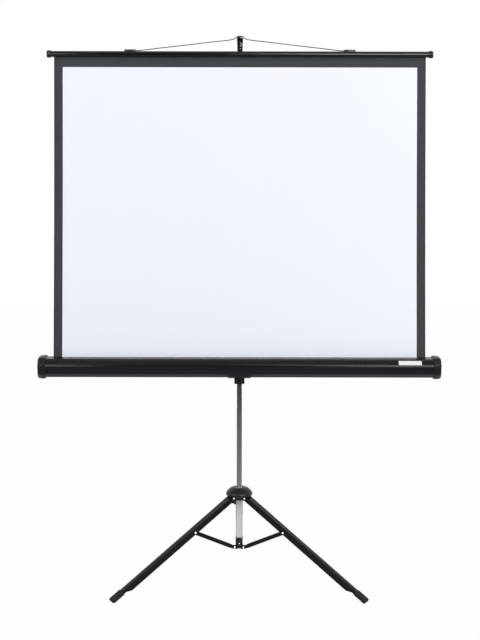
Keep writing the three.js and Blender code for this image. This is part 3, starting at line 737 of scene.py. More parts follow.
def woven(finish, flat, black, tint):
    """Lays the weave over a finish, and gives its dark tone and its thread tint."""
    weave = finish.group("weave", Flat=flat, Thread_Pitch=THREAD_PITCH)
    finish.bump(weave["Height"], distance=0.03 * MM, strength=0.35)
    dark = blended(finish.tree, weave["Tint"], opaque(black), opaque(black, level=tint))
    return dark, weave["Tint"]


def starts_at(tree, way, place, before=0.0, after=1.0):
    """A mask with a soft edge at one place along the way."""
    soft = 0.15 * MM
    return ramp(tree, way, place - soft, place + soft, before, after)


def ends_at(tree, way, place):
    return starts_at(tree, way, place, before=1.0, after=0.0)


def cloth_finish(name, settings, front):
    """Projection cloth, patterned by its own flat map, with the border printed on the front."""
    width, height = sheet_size()
    finish = Finish(name)
    tree = finish.tree
    flat = tree.nodes.new("ShaderNodeUVMap")
    flat.uv_map = "Flat"
    size = vector_maths(tree, "MULTIPLY", flat.outputs["UV"], (width, height, 0.0))
    dark, tint = woven(finish, size, settings.black, tint=1.5)
    if front:
        sideways = along(tree, size, "X")
        upward = along(tree, size, "Y")
        left = starts_at(tree, sideways, settings.side_border)
        right = ends_at(tree, sideways, width - settings.side_border)
        top = ends_at(tree, upward, height - settings.top_border)
        window = maths(tree, "MULTIPLY", maths(tree, "MULTIPLY", left, right), top)
        pale = opaque(settings.white, level=0.975), opaque(settings.white)
        tone = blended(tree, window, dark, blended(tree, tint, *pale))
        roughness = (0.86, 0.95)
    else:
        tone = dark
        roughness = (0.7, 0.82)
    finish.link(tone, "Base Color")
    finish.link(ramp(tree, tint, 0.3, 0.7, *roughness), "Roughness")
    finish.set(Specular_IOR_Level=0.22)
    return finish.material


def wound_cloth(name, settings):
    """The layers on the roller: the black backing, wound up."""
    finish = Finish(name)
    dark, tint = woven(finish, finish.place, settings.black, tint=1.6)
    finish.link(dark, "Base Color")
    finish.link(ramp(finish.tree, tint, 0.3, 0.7, 0.7, 0.85), "Roughness")
    return finish.material


def make_finishes(cloth, case, metal):
    """Builds each finish under the name of its material slot, with a few extra ones."""
    make_groups()
    leg_tone = [c * 1.15 for c in case.paint]
    bar_tone = (0.0032, 0.0032, 0.0037)
    spring_tone = (0.22, 0.215, 0.21)
    along_x = (0.01, 1.0, 1.0)
    along_z = (1.0, 1.0, 0.01)
    unstretched = (1.0, 1.0, 1.0)
    round_coil = (12.0, 0.6, 0.6)
    FINISHES.update(
        black_case=satin_paint(
            "Case paint",
            case.paint,
            along_x,
            roughness=0.28,
            specular=0.05,
            coat=0.42,
            dust=0.015,
        ),
        black_leg=satin_paint(
            "Leg paint",
            leg_tone,
            unstretched,
            roughness=0.26,
            specular=0.05,
            coat=0.10,
            dust=0.02,
        ),
        black_bar=gloss_paint("Bar paint", bar_tone),
        black_plastic=moulded_plastic("Moulded plastic", case.plastic),
        zinc_steel=drawn_steel("Zinc tube", metal.zinc, along_z, roughness=0.11),
        zinc_axle=drawn_steel("Zinc axle", metal.zinc, along_x, roughness=0.34),
        spring_steel=drawn_steel(
            "Spring steel", spring_tone, round_coil, roughness=0.42, line_size=0.004
        ),
        bright_steel=bright_steel("Bright fasteners", metal.bright),
        foot_rubber=rubber("Foot rubber"),
        label_paper=label_paper("Blank label"),
        cloth_front=cloth_finish("Cloth front", cloth, front=True),
        cloth_back=cloth_finish("Cloth back", cloth, front=False),
        screen_cloth=wound_cloth("Wound cloth", cloth),
    )


# Cloth


def sheet_size():
    low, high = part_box("screen_fabric")
    return high.x - low.x, high.z - low.z


def make_cloth(settings):
    """The hanging sheet: two faces half a millimetre apart, drawn in at the waist."""
    low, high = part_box("screen_fabric")
    width, height = sheet_size()
    middle = (low.x + high.x) / 2
    across, up = 96, 72
    clearance = 0.02 * MM
    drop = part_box("top_bar")[0].z - clearance - low.z

    def wave(waves, lean, u, v):
        return math.sin(2 * math.pi * (waves * u + lean * v))

    shape = bmesh.new()
    flat = shape.loops.layers.uv.new("Flat")
    grid = {}
    for face, y in enumerate((low.y, high.y)):
        for j in range(up + 1):
            v = j / up
            waist = 1.0 - 2.0 * settings.waist / width * math.sin(math.pi * v)
            hang = math.sin(math.pi * v) ** 2
            for i in range(across + 1):
                u = i / across
                x = middle + (u - 0.5) * width * waist
                swell = wave(3.5, 0.4, u, v) * hang
                swell += 0.5 * wave(8.0, -0.3, u, 1.0) * hang
                place = (x, y + settings.ripple * swell, low.z + v * drop)
                grid[face, i, j] = shape.verts.new(place)

    def quad(corners, marks, material):
        made = shape.faces.new([grid[c] for c in corners])
        made.material_index = material
        made.smooth = True
        for loop, (i, j) in zip(made.loops, marks):
            loop[flat].uv = (i / across, j / up)

    for j in range(up):
        for i in range(across):
            ends = [(i, j), (i + 1, j), (i + 1, j + 1), (i, j + 1)]
            quad([(0, *end) for end in ends], ends, 0)
            ends.reverse()
            quad([(1, *end) for end in ends], ends, 1)
    rim = [(i, 0) for i in range(across)]
    rim += [(across, j) for j in range(up)]
    rim += [(i, up) for i in range(across, 0, -1)]
    rim += [(0, j) for j in range(up, 0, -1)]
    for here, after in zip(rim, rim[1:] + rim[:1]):
        corners = [(0, *after), (0, *here), (1, *here), (1, *after)]
        quad(corners, (after, here, here, after), 1)
    piece = put_in_scene("screen_sheet", mesh_from("screen_sheet", shape))
    dress(piece, "case", "screen_cloth", ("screen_fabric",), ("cloth_front", "cloth_back"))
    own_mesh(piece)


# Roller case


def case_corners():
    """Outer corners of the case, from the slot's front edge round to its back edge, as (y, z)."""
    low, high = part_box("case_shell")
    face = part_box("screen_fabric")[0].y
    bottom = low.z
    top = high.z
    nose = low.y
    back = high.y
    slot = 3.0 * MM
    chamfer = 6.0 * MM
    middle = face + 0.25 * MM
    slope_run = 37.0 * MM
    slope_fall = 3.5 * MM
    fall = slope_fall * slot / (middle - face + slope_run)
    return [
        (middle - slot, top - fall),
        (face - slope_run, top - slope_fall),
        (face - 41.0 * MM, top - 5.6 * MM),
        (face - 45.0 * MM, top - 9.6 * MM),
        (nose, bottom + 53.0 * MM),
        (nose, bottom + 45.0 * MM),
        (face - 48.0 * MM, bottom + 15.0 * MM),
        (face - 31.0 * MM, bottom),
        (back - chamfer, bottom),
        (back, bottom + chamfer),
        (back, top - chamfer),
        (back - chamfer, top),
        (middle + slot, top),
    ]


def offset_line(points, amount):
    """Moves an open line sideways by an amount, keeping its corners."""
    moved = []
    for i, point in enumerate(points):
        normals = []
        for a, b in ((i - 1, i), (i, i + 1)):
            if 0 <= a and b < len(points):
                run = Vector(points[b]) - Vector(points[a])
                normals.append(Vector((-run.y, run.x)).normalized())
        normal = sum(normals, Vector((0, 0)))
        share = amount / normal.length_squared * len(normals)
        moved.append(tuple(Vector(point) + normal * share))
    return moved


def make_case(settings):
    """The folded sheet of the case, with rounded folds and a bead along its nose."""
    low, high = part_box("case_shell")
    corners = case_corners()
    radii = [settings.fold_radius] * len(corners)
    radii[1:4] = [settings.lip_radius] * 3
    radii[4:6] = [settings.nose_radius] * 2
    outer = filleted(corners, radii, steps=6)
    inner = offset_line(outer, settings.wall)
    ring = outer + inner[::-1]
    shape = bmesh.new()
    ends = []
    for x in (low.x, high.x):
        ends.append([shape.verts.new((x, y, z)) for y, z in ring])
    count = len(ring)
    for k in range(count):
        after = (k + 1) % count
        shape.faces.new((ends[0][k], ends[1][k], ends[1][after], ends[0][after]))
    for side in ends:
        for k in range(len(outer) - 1):
            far = count - 1 - k
            shape.faces.new((side[k], side[k + 1], side[far - 1], side[far]))
    bmesh.ops.recalc_face_normals(shape, faces=shape.faces)
    piece_from("case_skin", shape, "case", "black_case", "case_shell", angle=32.0)
    for side in ("left", "right"):
        softened(
            f"end_cap_{side}",
            "case",
            "black_plastic",
            width=1.1 * MM,
            segments=3,
            angle=24.0,
            name=f"case_cap_{side}",
        )
    softened("blank_label", "case", "label_paper", width=0.1 * MM, segments=1)
    softened("case_saddle", "case", "black_case", width=0.8 * MM, segments=3)


# Pins, rivets and screws, made from points


def geometry_tree(name, inputs):
    through = ("Geometry", "NodeSocketGeometry")
    inputs = [(*through, None), *inputs, ("Material", "NodeSocketMaterial", None)]
    return node_group(name, inputs, [through], "GeometryNodeTree")


def finish_tree(tree, given, out, geometry):
    """Ends a geometry tree: real mesh, shaded smooth, in the given material."""
    realize = tree.nodes.new("GeometryNodeRealizeInstances")
    shade = tree.nodes.new("GeometryNodeSetShadeSmooth")
    colour = tree.nodes.new("GeometryNodeSetMaterial")
    tree.links.new(geometry, realize.inputs[0])
    tree.links.new(realize.outputs[0], shade.inputs[0])
    tree.links.new(shade.outputs[0], colour.inputs["Geometry"])
    tree.links.new(given["Material"], colour.inputs["Material"])
    tree.links.new(colour.outputs[0], out[0])
    return tree


def heads_tree():
    """A domed head on each point, turned to the point's facing."""
    tree, given, out = geometry_tree(
        "Domed Heads",
        [("Radius", "NodeSocketFloat", 0.0046), ("Height", "NodeSocketFloat", 0.002)],
    )
    ball = tree.nodes.new("GeometryNodeMeshUVSphere")
    ball.inputs["Segments"].default_value = 28
    ball.inputs["Rings"].default_value = 14
    ball.inputs["Radius"].default_value = 1.0
    size = tree.nodes.new("ShaderNodeCombineXYZ")
    for axis, label in (("X", "Radius"), ("Y", "Radius"), ("Z", "Height")):
        tree.links.new(given[label], size.inputs[axis])
    shaped = tree.nodes.new("GeometryNodeTransform")
    tree.links.new(ball.outputs["Mesh"], shaped.inputs["Geometry"])
    tree.links.new(size.outputs[0], shaped.inputs["Scale"])
    facing = tree.nodes.new("GeometryNodeInputNamedAttribute")
    facing.data_type = "FLOAT_VECTOR"
    facing.inputs["Name"].default_value = "facing"
    turn = tree.nodes.new("FunctionNodeAlignRotationToVector")
    turn.axis = "Z"
    tree.links.new(facing.outputs["Attribute"], turn.inputs["Vector"])
    heads = tree.nodes.new("GeometryNodeInstanceOnPoints")
    tree.links.new(given["Geometry"], heads.inputs["Points"])
    tree.links.new(shaped.outputs["Geometry"], heads.inputs["Instance"])
    tree.links.new(turn.outputs["Rotation"], heads.inputs["Rotation"])
    return finish_tree(tree, given, out, heads.outputs["Instances"])


def rod_tree():
    """A round rod along the edges it is given."""
    tree, given, out = geometry_tree(
        "Round Rod",
        [("Radius", "NodeSocketFloat", 0.003), ("Sides", "NodeSocketInt", 20)],
    )
    path = tree.nodes.new("GeometryNodeMeshToCurve")
    ring = tree.nodes.new("GeometryNodeCurvePrimitiveCircle")
    tube = tree.nodes.new("GeometryNodeCurveToMesh")
    tube.inputs["Fill Caps"].default_value = True
    tree.links.new(given["Geometry"], path.inputs["Mesh"])
    tree.links.new(given["Radius"], ring.inputs["Radius"])
    tree.links.new(given["Sides"], ring.inputs["Resolution"])
    tree.links.new(path.outputs["Curve"], tube.inputs["Curve"])
    tree.links.new(ring.outputs["Curve"], tube.inputs["Profile Curve"])
    return finish_tree(tree, given, out, tube.outputs["Mesh"])


def input_socket(tree, label):
    for item in tree.interface.items_tree:
        if item.item_type == "SOCKET" and item.in_out == "INPUT" and item.name == label:
            return item.identifier
    raise RuntimeError(f"{tree.name} has no input named {label}")


def grown(piece, tree_name, finish, **values):
    """Runs a geometry tree over the piece and keeps the plain mesh that comes out."""
    tree = TREES[tree_name]
    modifier = piece.modifiers.new(tree_name, "NODES")
    modifier.node_group = tree
    for label, value in values.items():
        modifier[input_socket(tree, label)] = value
    modifier[input_socket(tree, "Material")] = FINISHES[finish]
    settle(piece)
    smooth(piece, ROUND_ANGLE)


def points_piece(name, places, facings=(), edges=()):
    mesh = bpy.data.meshes.new(name)
    mesh.from_pydata([tuple(p) for p in places], list(edges), [])
    if facings:
        marks = mesh.attributes.new("facing", "FLOAT_VECTOR", "POINT")
        marks.data.foreach_set("vector", [c for f in facings for c in f])
    return put_in_scene(name, mesh)


def join(first, second):
    """Adds the second piece's mesh to the first one's."""
    shape = bmesh.new()
    for piece in (first, second):
        shape.from_mesh(piece.data)
    bpy.data.objects.remove(second)
    first.data = mesh_from(first.name, shape)


def headed_pins(name, nodes, directions, body, height):
    """Cross pins with a domed head at each end, standing for plain ones of a body."""
    head_radius = 4.6 * MM
    shank_radius = 3.0 * MM
    places, facings, ends, edges = [], [], [], []
    for node, direction in zip(nodes, directions):
        middle = centre(node)
        corners = [v.co - middle for v in NODES[node].data.vertices]
        seat = max(abs(corner.dot(direction)) for corner in corners) - height
        edges.append((len(ends), len(ends) + 1))
        for sign in (1.0, -1.0):
            places.append(middle + direction * (seat * sign))
            facings.append(direction * sign)
            ends.append(places[-1])
    heads = points_piece(name, places, facings)
    grown(heads, "heads", "bright_steel", Radius=head_radius, Height=height)
    shanks = points_piece(name + "_shanks", ends, edges=edges)
    grown(shanks, "rod", "bright_steel", Radius=shank_radius, Sides=20)
    join(heads, shanks)
    smooth(heads, ROUND_ANGLE)
    dress(heads, body, "bright_steel", nodes)


def screw_heads(name, nodes, direction, body, radius, rivet_height):
    """Low domed screw heads that stand for flat ones."""
    height = rivet_height * 0.8
    places = []
    for node in nodes:
        low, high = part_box(node)
        reach = abs(((high - low) / 2).dot(direction))
        places.append((low + high) / 2 - direction * reach)
    heads = points_piece(name, places, [direction] * len(places))
    grown(heads, "heads", "bright_steel", Radius=radius, Height=height)
    dress(heads, body, "bright_steel", nodes)


def across_leg(side):
    """The direction of the cross pins of a leg."""
    out = centre(f"rubber_foot_{side}") - MAST
    turn = math.atan2(out.y, out.x)
    return Vector((-math.sin(turn), math.cos(turn), 0.0))


def make_fasteners(settings):
    TREES.update(heads=heads_tree(), rod=rod_tree())
    height = settings.head_height
    directions = [across_leg(side) for side in LEG_SIDES]
    pins = [f"leg_pin_{side}" for side in LEG_SIDES]
    headed_pins("hinge_pins", pins, directions, "hub", height)
    for side, direction in zip(LEG_SIDES, directions):
        for name, node, body in (
            ("brace_rivet", "leg_brace_rivet", "leg"),
            ("collar_pin", "brace_collar_rivet", "brace"),
        ):
            headed_pins(
                f"{name}_{side}", [f"{node}_{side}"], [direction], f"{body}_{side}", height
            )
    front = Vector((0.0, -1.0, 0.0))
    down = Vector((0.0, 0.0, -1.0))
    hook_screws = ["hook_screw_lower", "hook_screw_upper"]
    saddle_screws = ["saddle_screw_left", "saddle_screw_right"]
    for name, nodes, direction, body, radius in (
        ("collar_stud", ["collar_rivet"], front, "mast", 2.6 * MM),
        ("hook_studs", hook_screws, front, "extension", 2.1 * MM),
        ("saddle_studs", saddle_screws, down, "case", 4.8 * MM),
    ):
        screw_heads(name, nodes, direction, body, radius, height)


# Top bar, wire and hook


def make_bar():
    low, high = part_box("top_bar")
    middle = (low + high) / 2
    radius = (high.z - low.z) / 2
    inside = radius - 1.2 * MM
    edge = 0.3 * MM
    half = (high.x - low.x) / 2
    profile = [
        (inside, -half),
        (radius - edge, -half),
        (radius, -half + edge),
        (radius, half - edge),
        (radius - edge, half),
        (inside, half),
        (inside, -half),
    ]
    along_x = Matrix.Translation(middle) @ Matrix.Rotation(math.radians(90), 4, "Y")
    shape = lathed(profile, BAR_SIDES, along_x)
    piece_from("bar_tube", shape, "bar", "black_bar", "top_bar")
    for side, sign in (("left", -1.0), ("right", 1.0)):
        make_bar_cap(side, sign, middle)
        softened(f"wire_clip_{side}", "bar", "black_plastic", width=0.5 * MM)


def make_bar_cap(side, sign, middle):
    """A push-in cap with a crowned face and a shallow ring round it."""
    low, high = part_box(f"bar_cap_{side}")
    radius = (high.z - low.z) / 2
    outer = high.x if sign > 0 else -low.x
    inner = low.x if sign > 0 else -high.x
    face = outer - 17.0 * MM
    spigot = 11.0 * MM
    groove = radius - 0.5 * MM
    profile = [
        (0.0, inner),
        (spigot - 0.5 * MM, inner),
        (spigot, inner + 0.5 * MM),
        (spigot, face),
        (radius - 0.6 * MM, face),
        (radius, face + 0.6 * MM),
        (radius, face + 4.0 * MM),
        (groove, face + 4.5 * MM),
        (groove, face + 5.3 * MM),
        (radius, face + 5.8 * MM),
        (radius, outer - 4.5 * MM),
        (radius - 0.5 * MM, outer - 2.6 * MM),
        (radius - 1.8 * MM, outer - 1.1 * MM),
        (radius - 4.0 * MM, outer - 0.3 * MM),
        (radius - 7.0 * MM, outer),
        (0.0, outer),
    ]
    turn = Matrix.Rotation(math.radians(90 * sign), 4, "Y")
    place = Matrix.Translation((0.0, middle.y, middle.z)) @ turn
    shape = lathed(profile, BAR_SIDES, place)
    name = f"bar_end_{side}"
    piece_from(name, shape, "bar", "black_plastic", f"bar_cap_{side}", angle=45.0)


def make_wire():
    """The wire bow, from clip to clip, which leans back to ride over the hook."""
    low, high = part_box("hanging_wire")
    hook_low, hook_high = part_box("wire_hook")
    radius = 1.75 * MM
    sag = 2.0 * MM
    shoulder_drop = 9.9 * MM
    clip_inset = 10.0 * MM
    front = low.y + radius
    back = high.y - radius
    end_z = low.z + radius
    top_z = high.z - radius
    shoulder_x = 24.0 * MM
    shoulder_z = top_z - shoulder_drop
    clip_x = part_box("wire_clip_right")[0].x
    half_hook = (hook_high.x - hook_low.x) / 2
    right = [
        (0.0, back, top_z),
        (half_hook * 0.5, back, top_z - 0.47 * MM),
        (half_hook, back, top_z - 2.13 * MM),
        (shoulder_x, back, shoulder_z),
    ]
    for share in (0.75, 0.5, 0.25):
        x = clip_x + (shoulder_x - clip_x) * share
        y = front + (back - front) * share
        z = end_z + (shoulder_z - end_z) * share
        right.append((x, y, z - sag * 4.0 * share * (1.0 - share)))
    right.append((clip_x - clip_inset, front, end_z))
    right.append((high.x, front, end_z))
    knots = [(-x, y, z) for x, y, z in reversed(right[1:])] + right
    line = even_curve([Vector(knot) for knot in knots], steps=14)
    edges = [(i, i + 1) for i in range(len(line) - 1)]
    piece = points_piece("wire_bow", line, edges=edges)
    grown(piece, "rod", "black_leg", Radius=radius, Sides=14)
    dress(piece, "bar", "black_bar", ("hanging_wire",), ("black_leg",))


def even_curve(knots, steps):
    """A smooth line through the knots that doesn't swing out beside short bends."""
    least_gap = 1e-6
    line = [knots[0]]
    padded = [knots[0] * 2 - knots[1]] + list(knots) + [knots[-1] * 2 - knots[-2]]
    for i in range(1, len(padded) - 2):
        points = padded[i - 1 : i + 3]
        gaps = [0.0]
        for a, b in zip(points, points[1:]):
            gaps.append(gaps[-1] + max((b - a).length ** 0.5, least_gap))
        for k in range(1, steps + 1):
            line.append(on_curve(points, gaps, gaps[1] + (gaps[2] - gaps[1]) * k / steps))
    return line


def on_curve(points, gaps, t):
    """The point at t on the curve through four points, which are passed at the gaps."""

    def between(a, b, low, high):
        return a * ((high - t) / (high - low)) + b * ((t - low) / (high - low))

    p0, p1, p2, p3 = points
    t0, t1, t2, t3 = gaps
    first = between(p0, p1, t0, t1)
    second = between(p1, p2, t1, t2)
    third = between(p2, p3, t2, t3)
    left = between(first, second, t0, t2)
    right = between(second, third, t1, t3)
    return between(left, right, t1, t2)


def make_hook():
    softened("wire_hook", "extension", "black_bar", width=0.5 * MM)
    softened("extension_cap", "extension", "black_plastic", width=0.9 * MM, segments=3)


# Mast, carriage and hub


def make_mast():
    for node, body, width, segments in (
        ("mast_guide", "mast", 1.0, 3),
        ("middle_guide", "middle_stage", 0.8, 3),
        ("extension_button", "release_button", 0.6, 3),
        ("foot_collar", "mast", 0.45, 3),
        ("carriage", "carriage", 1.4, 3),
        ("hub_clamp_knob", "hub_knob", 0.5, 2),
        ("carriage_clamp_knob", "carriage_knob", 0.5, 2),
    ):
        softened(node, body, "black_plastic", width * MM, segments)


def dome_side(radius, shoulder, top):
    """The dome's side, from its shoulder up: between a cone and a quarter ellipse."""
    steps = 18
    roundness = 0.6
    flat_top = 23.0 * MM
    points = []
    for i in range(steps + 1):
        angle = math.radians(90.0 * (i / steps))
        straight = 1.0 - math.sin(angle)
        out = straight + (math.cos(angle) - straight) * roundness
        reach = flat_top + (radius - flat_top) * out
        points.append((reach, shoulder + (top - shoulder) * math.sin(angle)))
    return points


def make_hub():
    """The dome over the hub: a shallow bowl with a rolled rim, and a collar round the mast."""
    low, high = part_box("hub_dome")
    radius = (high.x - low.x) / 2
    rim = low.z
    top = high.z
    wall = 2.6 * MM
    bore = 20.3 * MM
    shoulder = rim + 9.0 * MM
    profile = [
        (radius - 1.2 * MM, rim),
        (radius - 0.3 * MM, rim + 0.5 * MM),
        (radius, rim + 1.5 * MM),
        *dome_side(radius, shoulder, top),
        (bore + 0.4 * MM, top),
        (bore, top - 0.4 * MM),
        (bore, top - wall),
        *reversed(dome_side(radius - wall, shoulder, top - wall)),
        (radius - wall, rim + 0.6 * MM),
        (radius - 1.2 * MM, rim),
    ]
    shape = lathed(profile, DOME_SIDES, Matrix.Translation((MAST.x, MAST.y, 0.0)))
    piece_from("hub_cover", shape, "hub", "black_plastic", "hub_dome", angle=40.0)
    softened("hub_body", "hub", "black_plastic", width=0.45 * MM)


# Legs, braces and feet


def make_legs():
    for side in LEG_SIDES:
        leg = f"leg_{side}"
        brace = f"brace_{side}"
        softened(f"leg_channel_{side}", leg, "black_leg", width=0.6 * MM)
        softened(brace, brace, "black_leg", width=0.6 * MM)
        foot = f"rubber_foot_{side}"
        softened(foot, leg, "foot_rubber", width=2.0 * MM, segments=4, angle=30.0)


# What stays as packed


def finish_plain_nodes():
    """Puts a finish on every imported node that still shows."""
    finishes = {row["node"]: row["material_slot"] for row in frame["record"]["subparts"]}
    for name in ("roller_tube", "spring_axle", "idler_axle"):
        finishes[name] = "zinc_axle"
    for name, node in NODES.items():
        if not node.hide_render:
            paint(node.data, (finishes[name],))
            smooth(node)


# Stage


def mixed_shader(tree, share, first, second):
    mix = tree.nodes.new("ShaderNodeMixShader")
    for socket, value in zip(mix.inputs, (share, first.outputs[0], second.outputs[0])):
        tree.links.new(value, socket)
    return mix


def make_world(settings):
    world = bpy.data.worlds.new("Room")
    world.use_nodes = True
    tree = world.node_tree
    tree.nodes.clear()
    out = tree.nodes.new("ShaderNodeOutputWorld")
    seen = tree.nodes.new("ShaderNodeBackground")
    seen.inputs["Color"].default_value = (1.0, 1.0, 1.0, 1.0)
    seen.inputs["Strength"].default_value = 1.0
    light = tree.nodes.new("ShaderNodeBackground")
    light.inputs["Color"].default_value = (0.985, 0.99, 1.0, 1.0)
    light.inputs["Strength"].default_value = settings.room_light
    path = tree.nodes.new("ShaderNodeLightPath").outputs
    share = maths(tree, "MAXIMUM", path["Is Camera Ray"], path["Is Glossy Ray"])
    share = maths(tree, "MAXIMUM", share, path["Is Transmission Ray"])
    mix = mixed_shader(tree, share, light, seen)
    tree.links.new(mix.outputs[0], out.inputs[0])
    bpy.context.scene.world = world


def floor_finish(settings):
    """A white floor that shows nearly its own colour to the camera and keeps a faint shadow."""
    finish = Finish("Studio floor")
    tree = finish.tree
    shade = opaque(settings.floor_colour, level=0.985)
    fine = finish.noise(scale=3.0, detail=2.0)
    tone = blended(tree, fine, shade, opaque(settings.floor_colour))
    finish.link(tone, "Base Color")
    finish.set(Roughness=0.9, Specular_IOR_Level=0.1)
    glow = tree.nodes.new("ShaderNodeEmission")
    glow.inputs["Strength"].default_value = 1.0
    path = tree.nodes.new("ShaderNodeLightPath").outputs
    share = maths(tree, "MULTIPLY", path["Is Glossy Ray"], 0.95)
    direct = maths(tree, "MULTIPLY", path["Is Camera Ray"], 0.985)
    share = maths(tree, "ADD", share, direct)
    finish.show(mixed_shader(tree, share, finish.shader, glow))
    return finish.material


def plane(name, corners, material):
    mesh = bpy.data.meshes.new(name)
    mesh.from_pydata(corners, [], [(0, 1, 2, 3)])
    mesh.materials.append(material)
    piece = put_in_scene(name, mesh)
    return piece


def mirror_card(finish, corners, level, evenness):
    """Puts up a glowing card of uneven tone, which only glossy surfaces mirror."""
    tree = finish.tree
    fine = finish.noise(scale=2.0, detail=2.0)
    uneven = ramp(tree, fine, 0.0, 1.0, evenness, 1.0)
    glow = tree.nodes.new("ShaderNodeEmission")
    tree.links.new(maths(tree, "MULTIPLY", level, uneven), glow.inputs["Strength"])
    finish.show(glow)
    card = plane(finish.material.name, corners, finish.material)
    card.visible_camera = False
    card.visible_diffuse = False
    card.visible_shadow = False


def dark_card(name, corners, near, far, near_tone, far_tone):
    """A studio card that darkens along Y from near to far."""
    finish = Finish(name)
    depth = along(finish.tree, finish.place, "Y")
    tone = ramp(finish.tree, depth, near, far, near_tone, far_tone)
    mirror_card(finish, corners, tone, evenness=0.97)


def bright_strip(name, back, low, high, right, left):
    """Bright sides of the room.

    Right and left give where the light starts, where it is full, and how strong it is.
    """
    finish = Finish(name)
    sideways = along(finish.tree, finish.place, "X")
    sides = []
    for start, full, strength in (right, left):
        sides.append(ramp(finish.tree, sideways, start, full, 0.0, strength))
    half = 3.2
    corners = [(-half, back, low), (half, back, low), (half, back, high), (-half, back, high)]
    mirror_card(finish, corners, maths(finish.tree, "ADD", *sides), evenness=0.9)


def soft_light(name, place, size, power):
    lamp = bpy.data.lights.new(name, "AREA")
    lamp.shape = "RECTANGLE"
    lamp.size, lamp.size_y = size
    lamp.energy = power
    holder = bpy.data.objects.new(name, lamp)
    bpy.context.scene.collection.objects.link(holder)
    holder.location = place
    chest = Vector((MAST.x, MAST.y, 1.4))
    holder.rotation_euler = (chest - Vector(place)).to_track_quat("-Z", "Y").to_euler()


def make_stage(settings):
    reach = 14.0
    floor = plane(
        "studio_floor",
        [(-reach, -reach, 0), (reach, -reach, 0), (reach, reach, 0), (-reach, reach, 0)],
        floor_finish(settings),
    )
    floor.location.z = -0.0002
    near = MAST.y - 1.25
    far = MAST.y - 7.5
    half, lift = 5, 0.003
    corners = [(-half, far, lift), (half, far, lift), (half, near, lift), (-half, near, lift)]
    dark_card("dark_floor_card", corners, near, MAST.y - 6.0, near_tone=0.34, far_tone=0.0)
    half, top = 4, 2.6
    corners = [(-half, far, 0), (half, far, 0), (half, far, top), (-half, far, top)]
    dark_card("dark_wall_card", corners, far, far - 1.0, near_tone=0.04, far_tone=0.04)
    half, top, near = 2.6, 4.6, 0.2
    corners = [(-half, far, top), (half, far, top), (half, near, top), (-half, near, top)]
    dark_card("dark_ceiling_card", corners, near, far, near_tone=0.6, far_tone=0.2)
    back = MAST.y - 5.2
    bright_strip("upper_strip", back, 1.9, 3.6, (-0.15, 0.65, 20.0), (-1.35, -1.75, 12.0))
    bright_strip("lower_strip", back, 0.05, 0.55, (0.6, 1.1, 6.5), (-1.2, -1.5, 6.0))
    make_world(settings)
    soft_light("key", (3.4, MAST.y - 3.6, 2.6), size=(1.6, 1.6), power=111.0)
    soft_light("fill", (-3.6, MAST.y - 3.4, 2.2), size=(1.6, 1.6), power=74.0)
    soft_light("overhead", (0.2, MAST.y - 0.9, 4.2), size=(2.6, 1.4), power=8.0)
    make_camera(settings)


def make_camera(settings):
    lens = bpy.data.cameras.new("photo_camera")
    camera = bpy.data.objects.new("photo_camera", lens)
    bpy.context.scene.collection.objects.link(camera)
    lens.sensor_fit = "VERTICAL"
    lens.sensor_height = 24.0
    lens.lens = settings.focal_share * lens.sensor_height
    lens.shift_y = -settings.horizon_share
    lens.clip_start = 0.05
    lens.clip_end = 100.0
    camera.location = (
        MAST.x + settings.side_shift,
        MAST.y - settings.distance,
        settings.height,
    )
    level = Matrix.Rotation(math.radians(90), 4, "X")
    camera.rotation_euler = (level @ Matrix.Rotation(settings.roll, 4, "Z")).to_euler()
    bpy.context.scene.camera = camera
    bpy.context.scene.view_settings.view_transform = "Standard"


# Operators


class SCREEN_OT_finishes(bpy.types.Operator):
    """Build the node groups and the finishes"""

    bl_idname = "screen.finishes"
    bl_label = "Finishes"

    def execute(self, context):
        scene = context.scene
        make_finishes(scene.screen_cloth, scene.screen_case, scene.screen_metal)
        return {"FINISHED"}


class SCREEN_OT_cloth(bpy.types.Operator):
    """Hang the projection cloth between the bar and the roller"""

    bl_idname = "screen.cloth"
    bl_label = "Projection Cloth"

    def execute(self, context):
        make_cloth(context.scene.screen_cloth)
        return {"FINISHED"}


class SCREEN_OT_case(bpy.types.Operator):
    """Fold the roller case and put on its caps, label and saddle"""

    bl_idname = "screen.case"
    bl_label = "Roller Case"

    def execute(self, context):
        make_case(context.scene.screen_case)
        return {"FINISHED"}


class SCREEN_OT_fasteners(bpy.types.Operator):
    """Set the domed pins, rivets and screws"""

    bl_idname = "screen.fasteners"
    bl_label = "Pins, Rivets and Screws"

    def execute(self, context):
        make_fasteners(context.scene.screen_metal)
        return {"FINISHED"}


class SCREEN_OT_bar(bpy.types.Operator):
    """Make the top bar, its caps, its clips and the hanging wire"""

    bl_idname = "screen.bar"
    bl_label = "Top Bar and Wire"

    def execute(self, context):
        make_bar()
        make_wire()
        return {"FINISHED"}


class SCREEN_OT_hook(bpy.types.Operator):
    """Make the hook that holds the wire, and the cap under it"""

    bl_idname = "screen.hook"
    bl_label = "Hook"

    def execute(self, context):
        make_hook()
        return {"FINISHED"}


class SCREEN_OT_mast(bpy.types.Operator):
    """Make the guides, the foot collar, the carriage and the clamp knobs"""

    bl_idname = "screen.mast"
    bl_label = "Mast Fittings"

    def execute(self, context):
        make_mast()
        return {"FINISHED"}


class SCREEN_OT_hub(bpy.types.Operator):
    """Make the sliding hub and the dome over it"""

    bl_idname = "screen.hub"
    bl_label = "Hub"

    def execute(self, context):
        make_hub()
        return {"FINISHED"}


class SCREEN_OT_legs(bpy.types.Operator):
    """Make the legs, the braces and the rubber feet"""

    bl_idname = "screen.legs"
    bl_label = "Legs and Feet"

    def execute(self, context):
        make_legs()
        return {"FINISHED"}


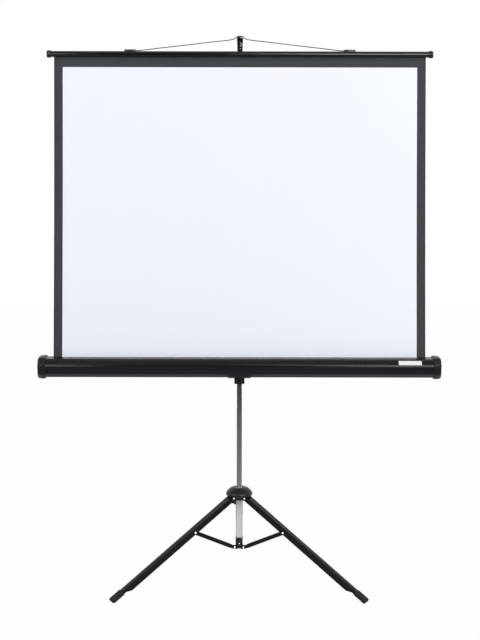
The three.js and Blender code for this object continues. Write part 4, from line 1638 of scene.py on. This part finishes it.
class SCREEN_OT_plain(bpy.types.Operator):
    """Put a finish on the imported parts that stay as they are"""

    bl_idname = "screen.plain"
    bl_label = "Packed Parts"

    def execute(self, context):
        finish_plain_nodes()
        return {"FINISHED"}


class SCREEN_OT_stage(bpy.types.Operator):
    """Set the floor, the lights and the camera"""

    bl_idname = "screen.stage"
    bl_label = "Stage"

    def execute(self, context):
        make_stage(context.scene.screen_stage)
        return {"FINISHED"}


class SCREEN_PT_sidebar(bpy.types.Panel):
    """Lists the pieces of the screen"""

    bl_idname = "SCREEN_PT_sidebar"
    bl_label = "Projection Screen"
    bl_space_type = "VIEW_3D"
    bl_region_type = "UI"
    bl_category = "Screen"

    def draw(self, context):
        column = self.layout.column()
        for step in STEPS:
            column.operator(step.bl_idname)
        for name in SETTINGS:
            group = getattr(context.scene, name)
            box = self.layout.box()
            for key in group.__annotations__:
                box.prop(group, key)


STEPS = (
    SCREEN_OT_stage,
    SCREEN_OT_finishes,
    SCREEN_OT_cloth,
    SCREEN_OT_case,
    SCREEN_OT_fasteners,
    SCREEN_OT_bar,
    SCREEN_OT_hook,
    SCREEN_OT_mast,
    SCREEN_OT_hub,
    SCREEN_OT_legs,
    SCREEN_OT_plain,
)
SETTINGS = {
    "screen_cloth": ClothSettings,
    "screen_case": CaseSettings,
    "screen_metal": MetalSettings,
    "screen_stage": StageSettings,
}


def register():
    for group in SETTINGS.values():
        bpy.utils.register_class(group)
    for step in STEPS:
        bpy.utils.register_class(step)
    bpy.utils.register_class(SCREEN_PT_sidebar)
    for name, group in SETTINGS.items():
        setattr(bpy.types.Scene, name, PointerProperty(type=group))


def unregister():
    for name in SETTINGS:
        delattr(bpy.types.Scene, name)
    bpy.utils.unregister_class(SCREEN_PT_sidebar)
    for step in reversed(STEPS):
        bpy.utils.unregister_class(step)
    for group in reversed(list(SETTINGS.values())):
        bpy.utils.unregister_class(group)


def main():
    register()
    bpy.ops.screen.stage()
    bpy.ops.screen.finishes()
    bpy.ops.screen.cloth()
    bpy.ops.screen.case()
    bpy.ops.screen.fasteners()
    bpy.ops.screen.bar()
    bpy.ops.screen.hook()
    bpy.ops.screen.mast()
    bpy.ops.screen.hub()
    bpy.ops.screen.legs()
    bpy.ops.screen.plain()


if __name__ == "__main__":
    main()
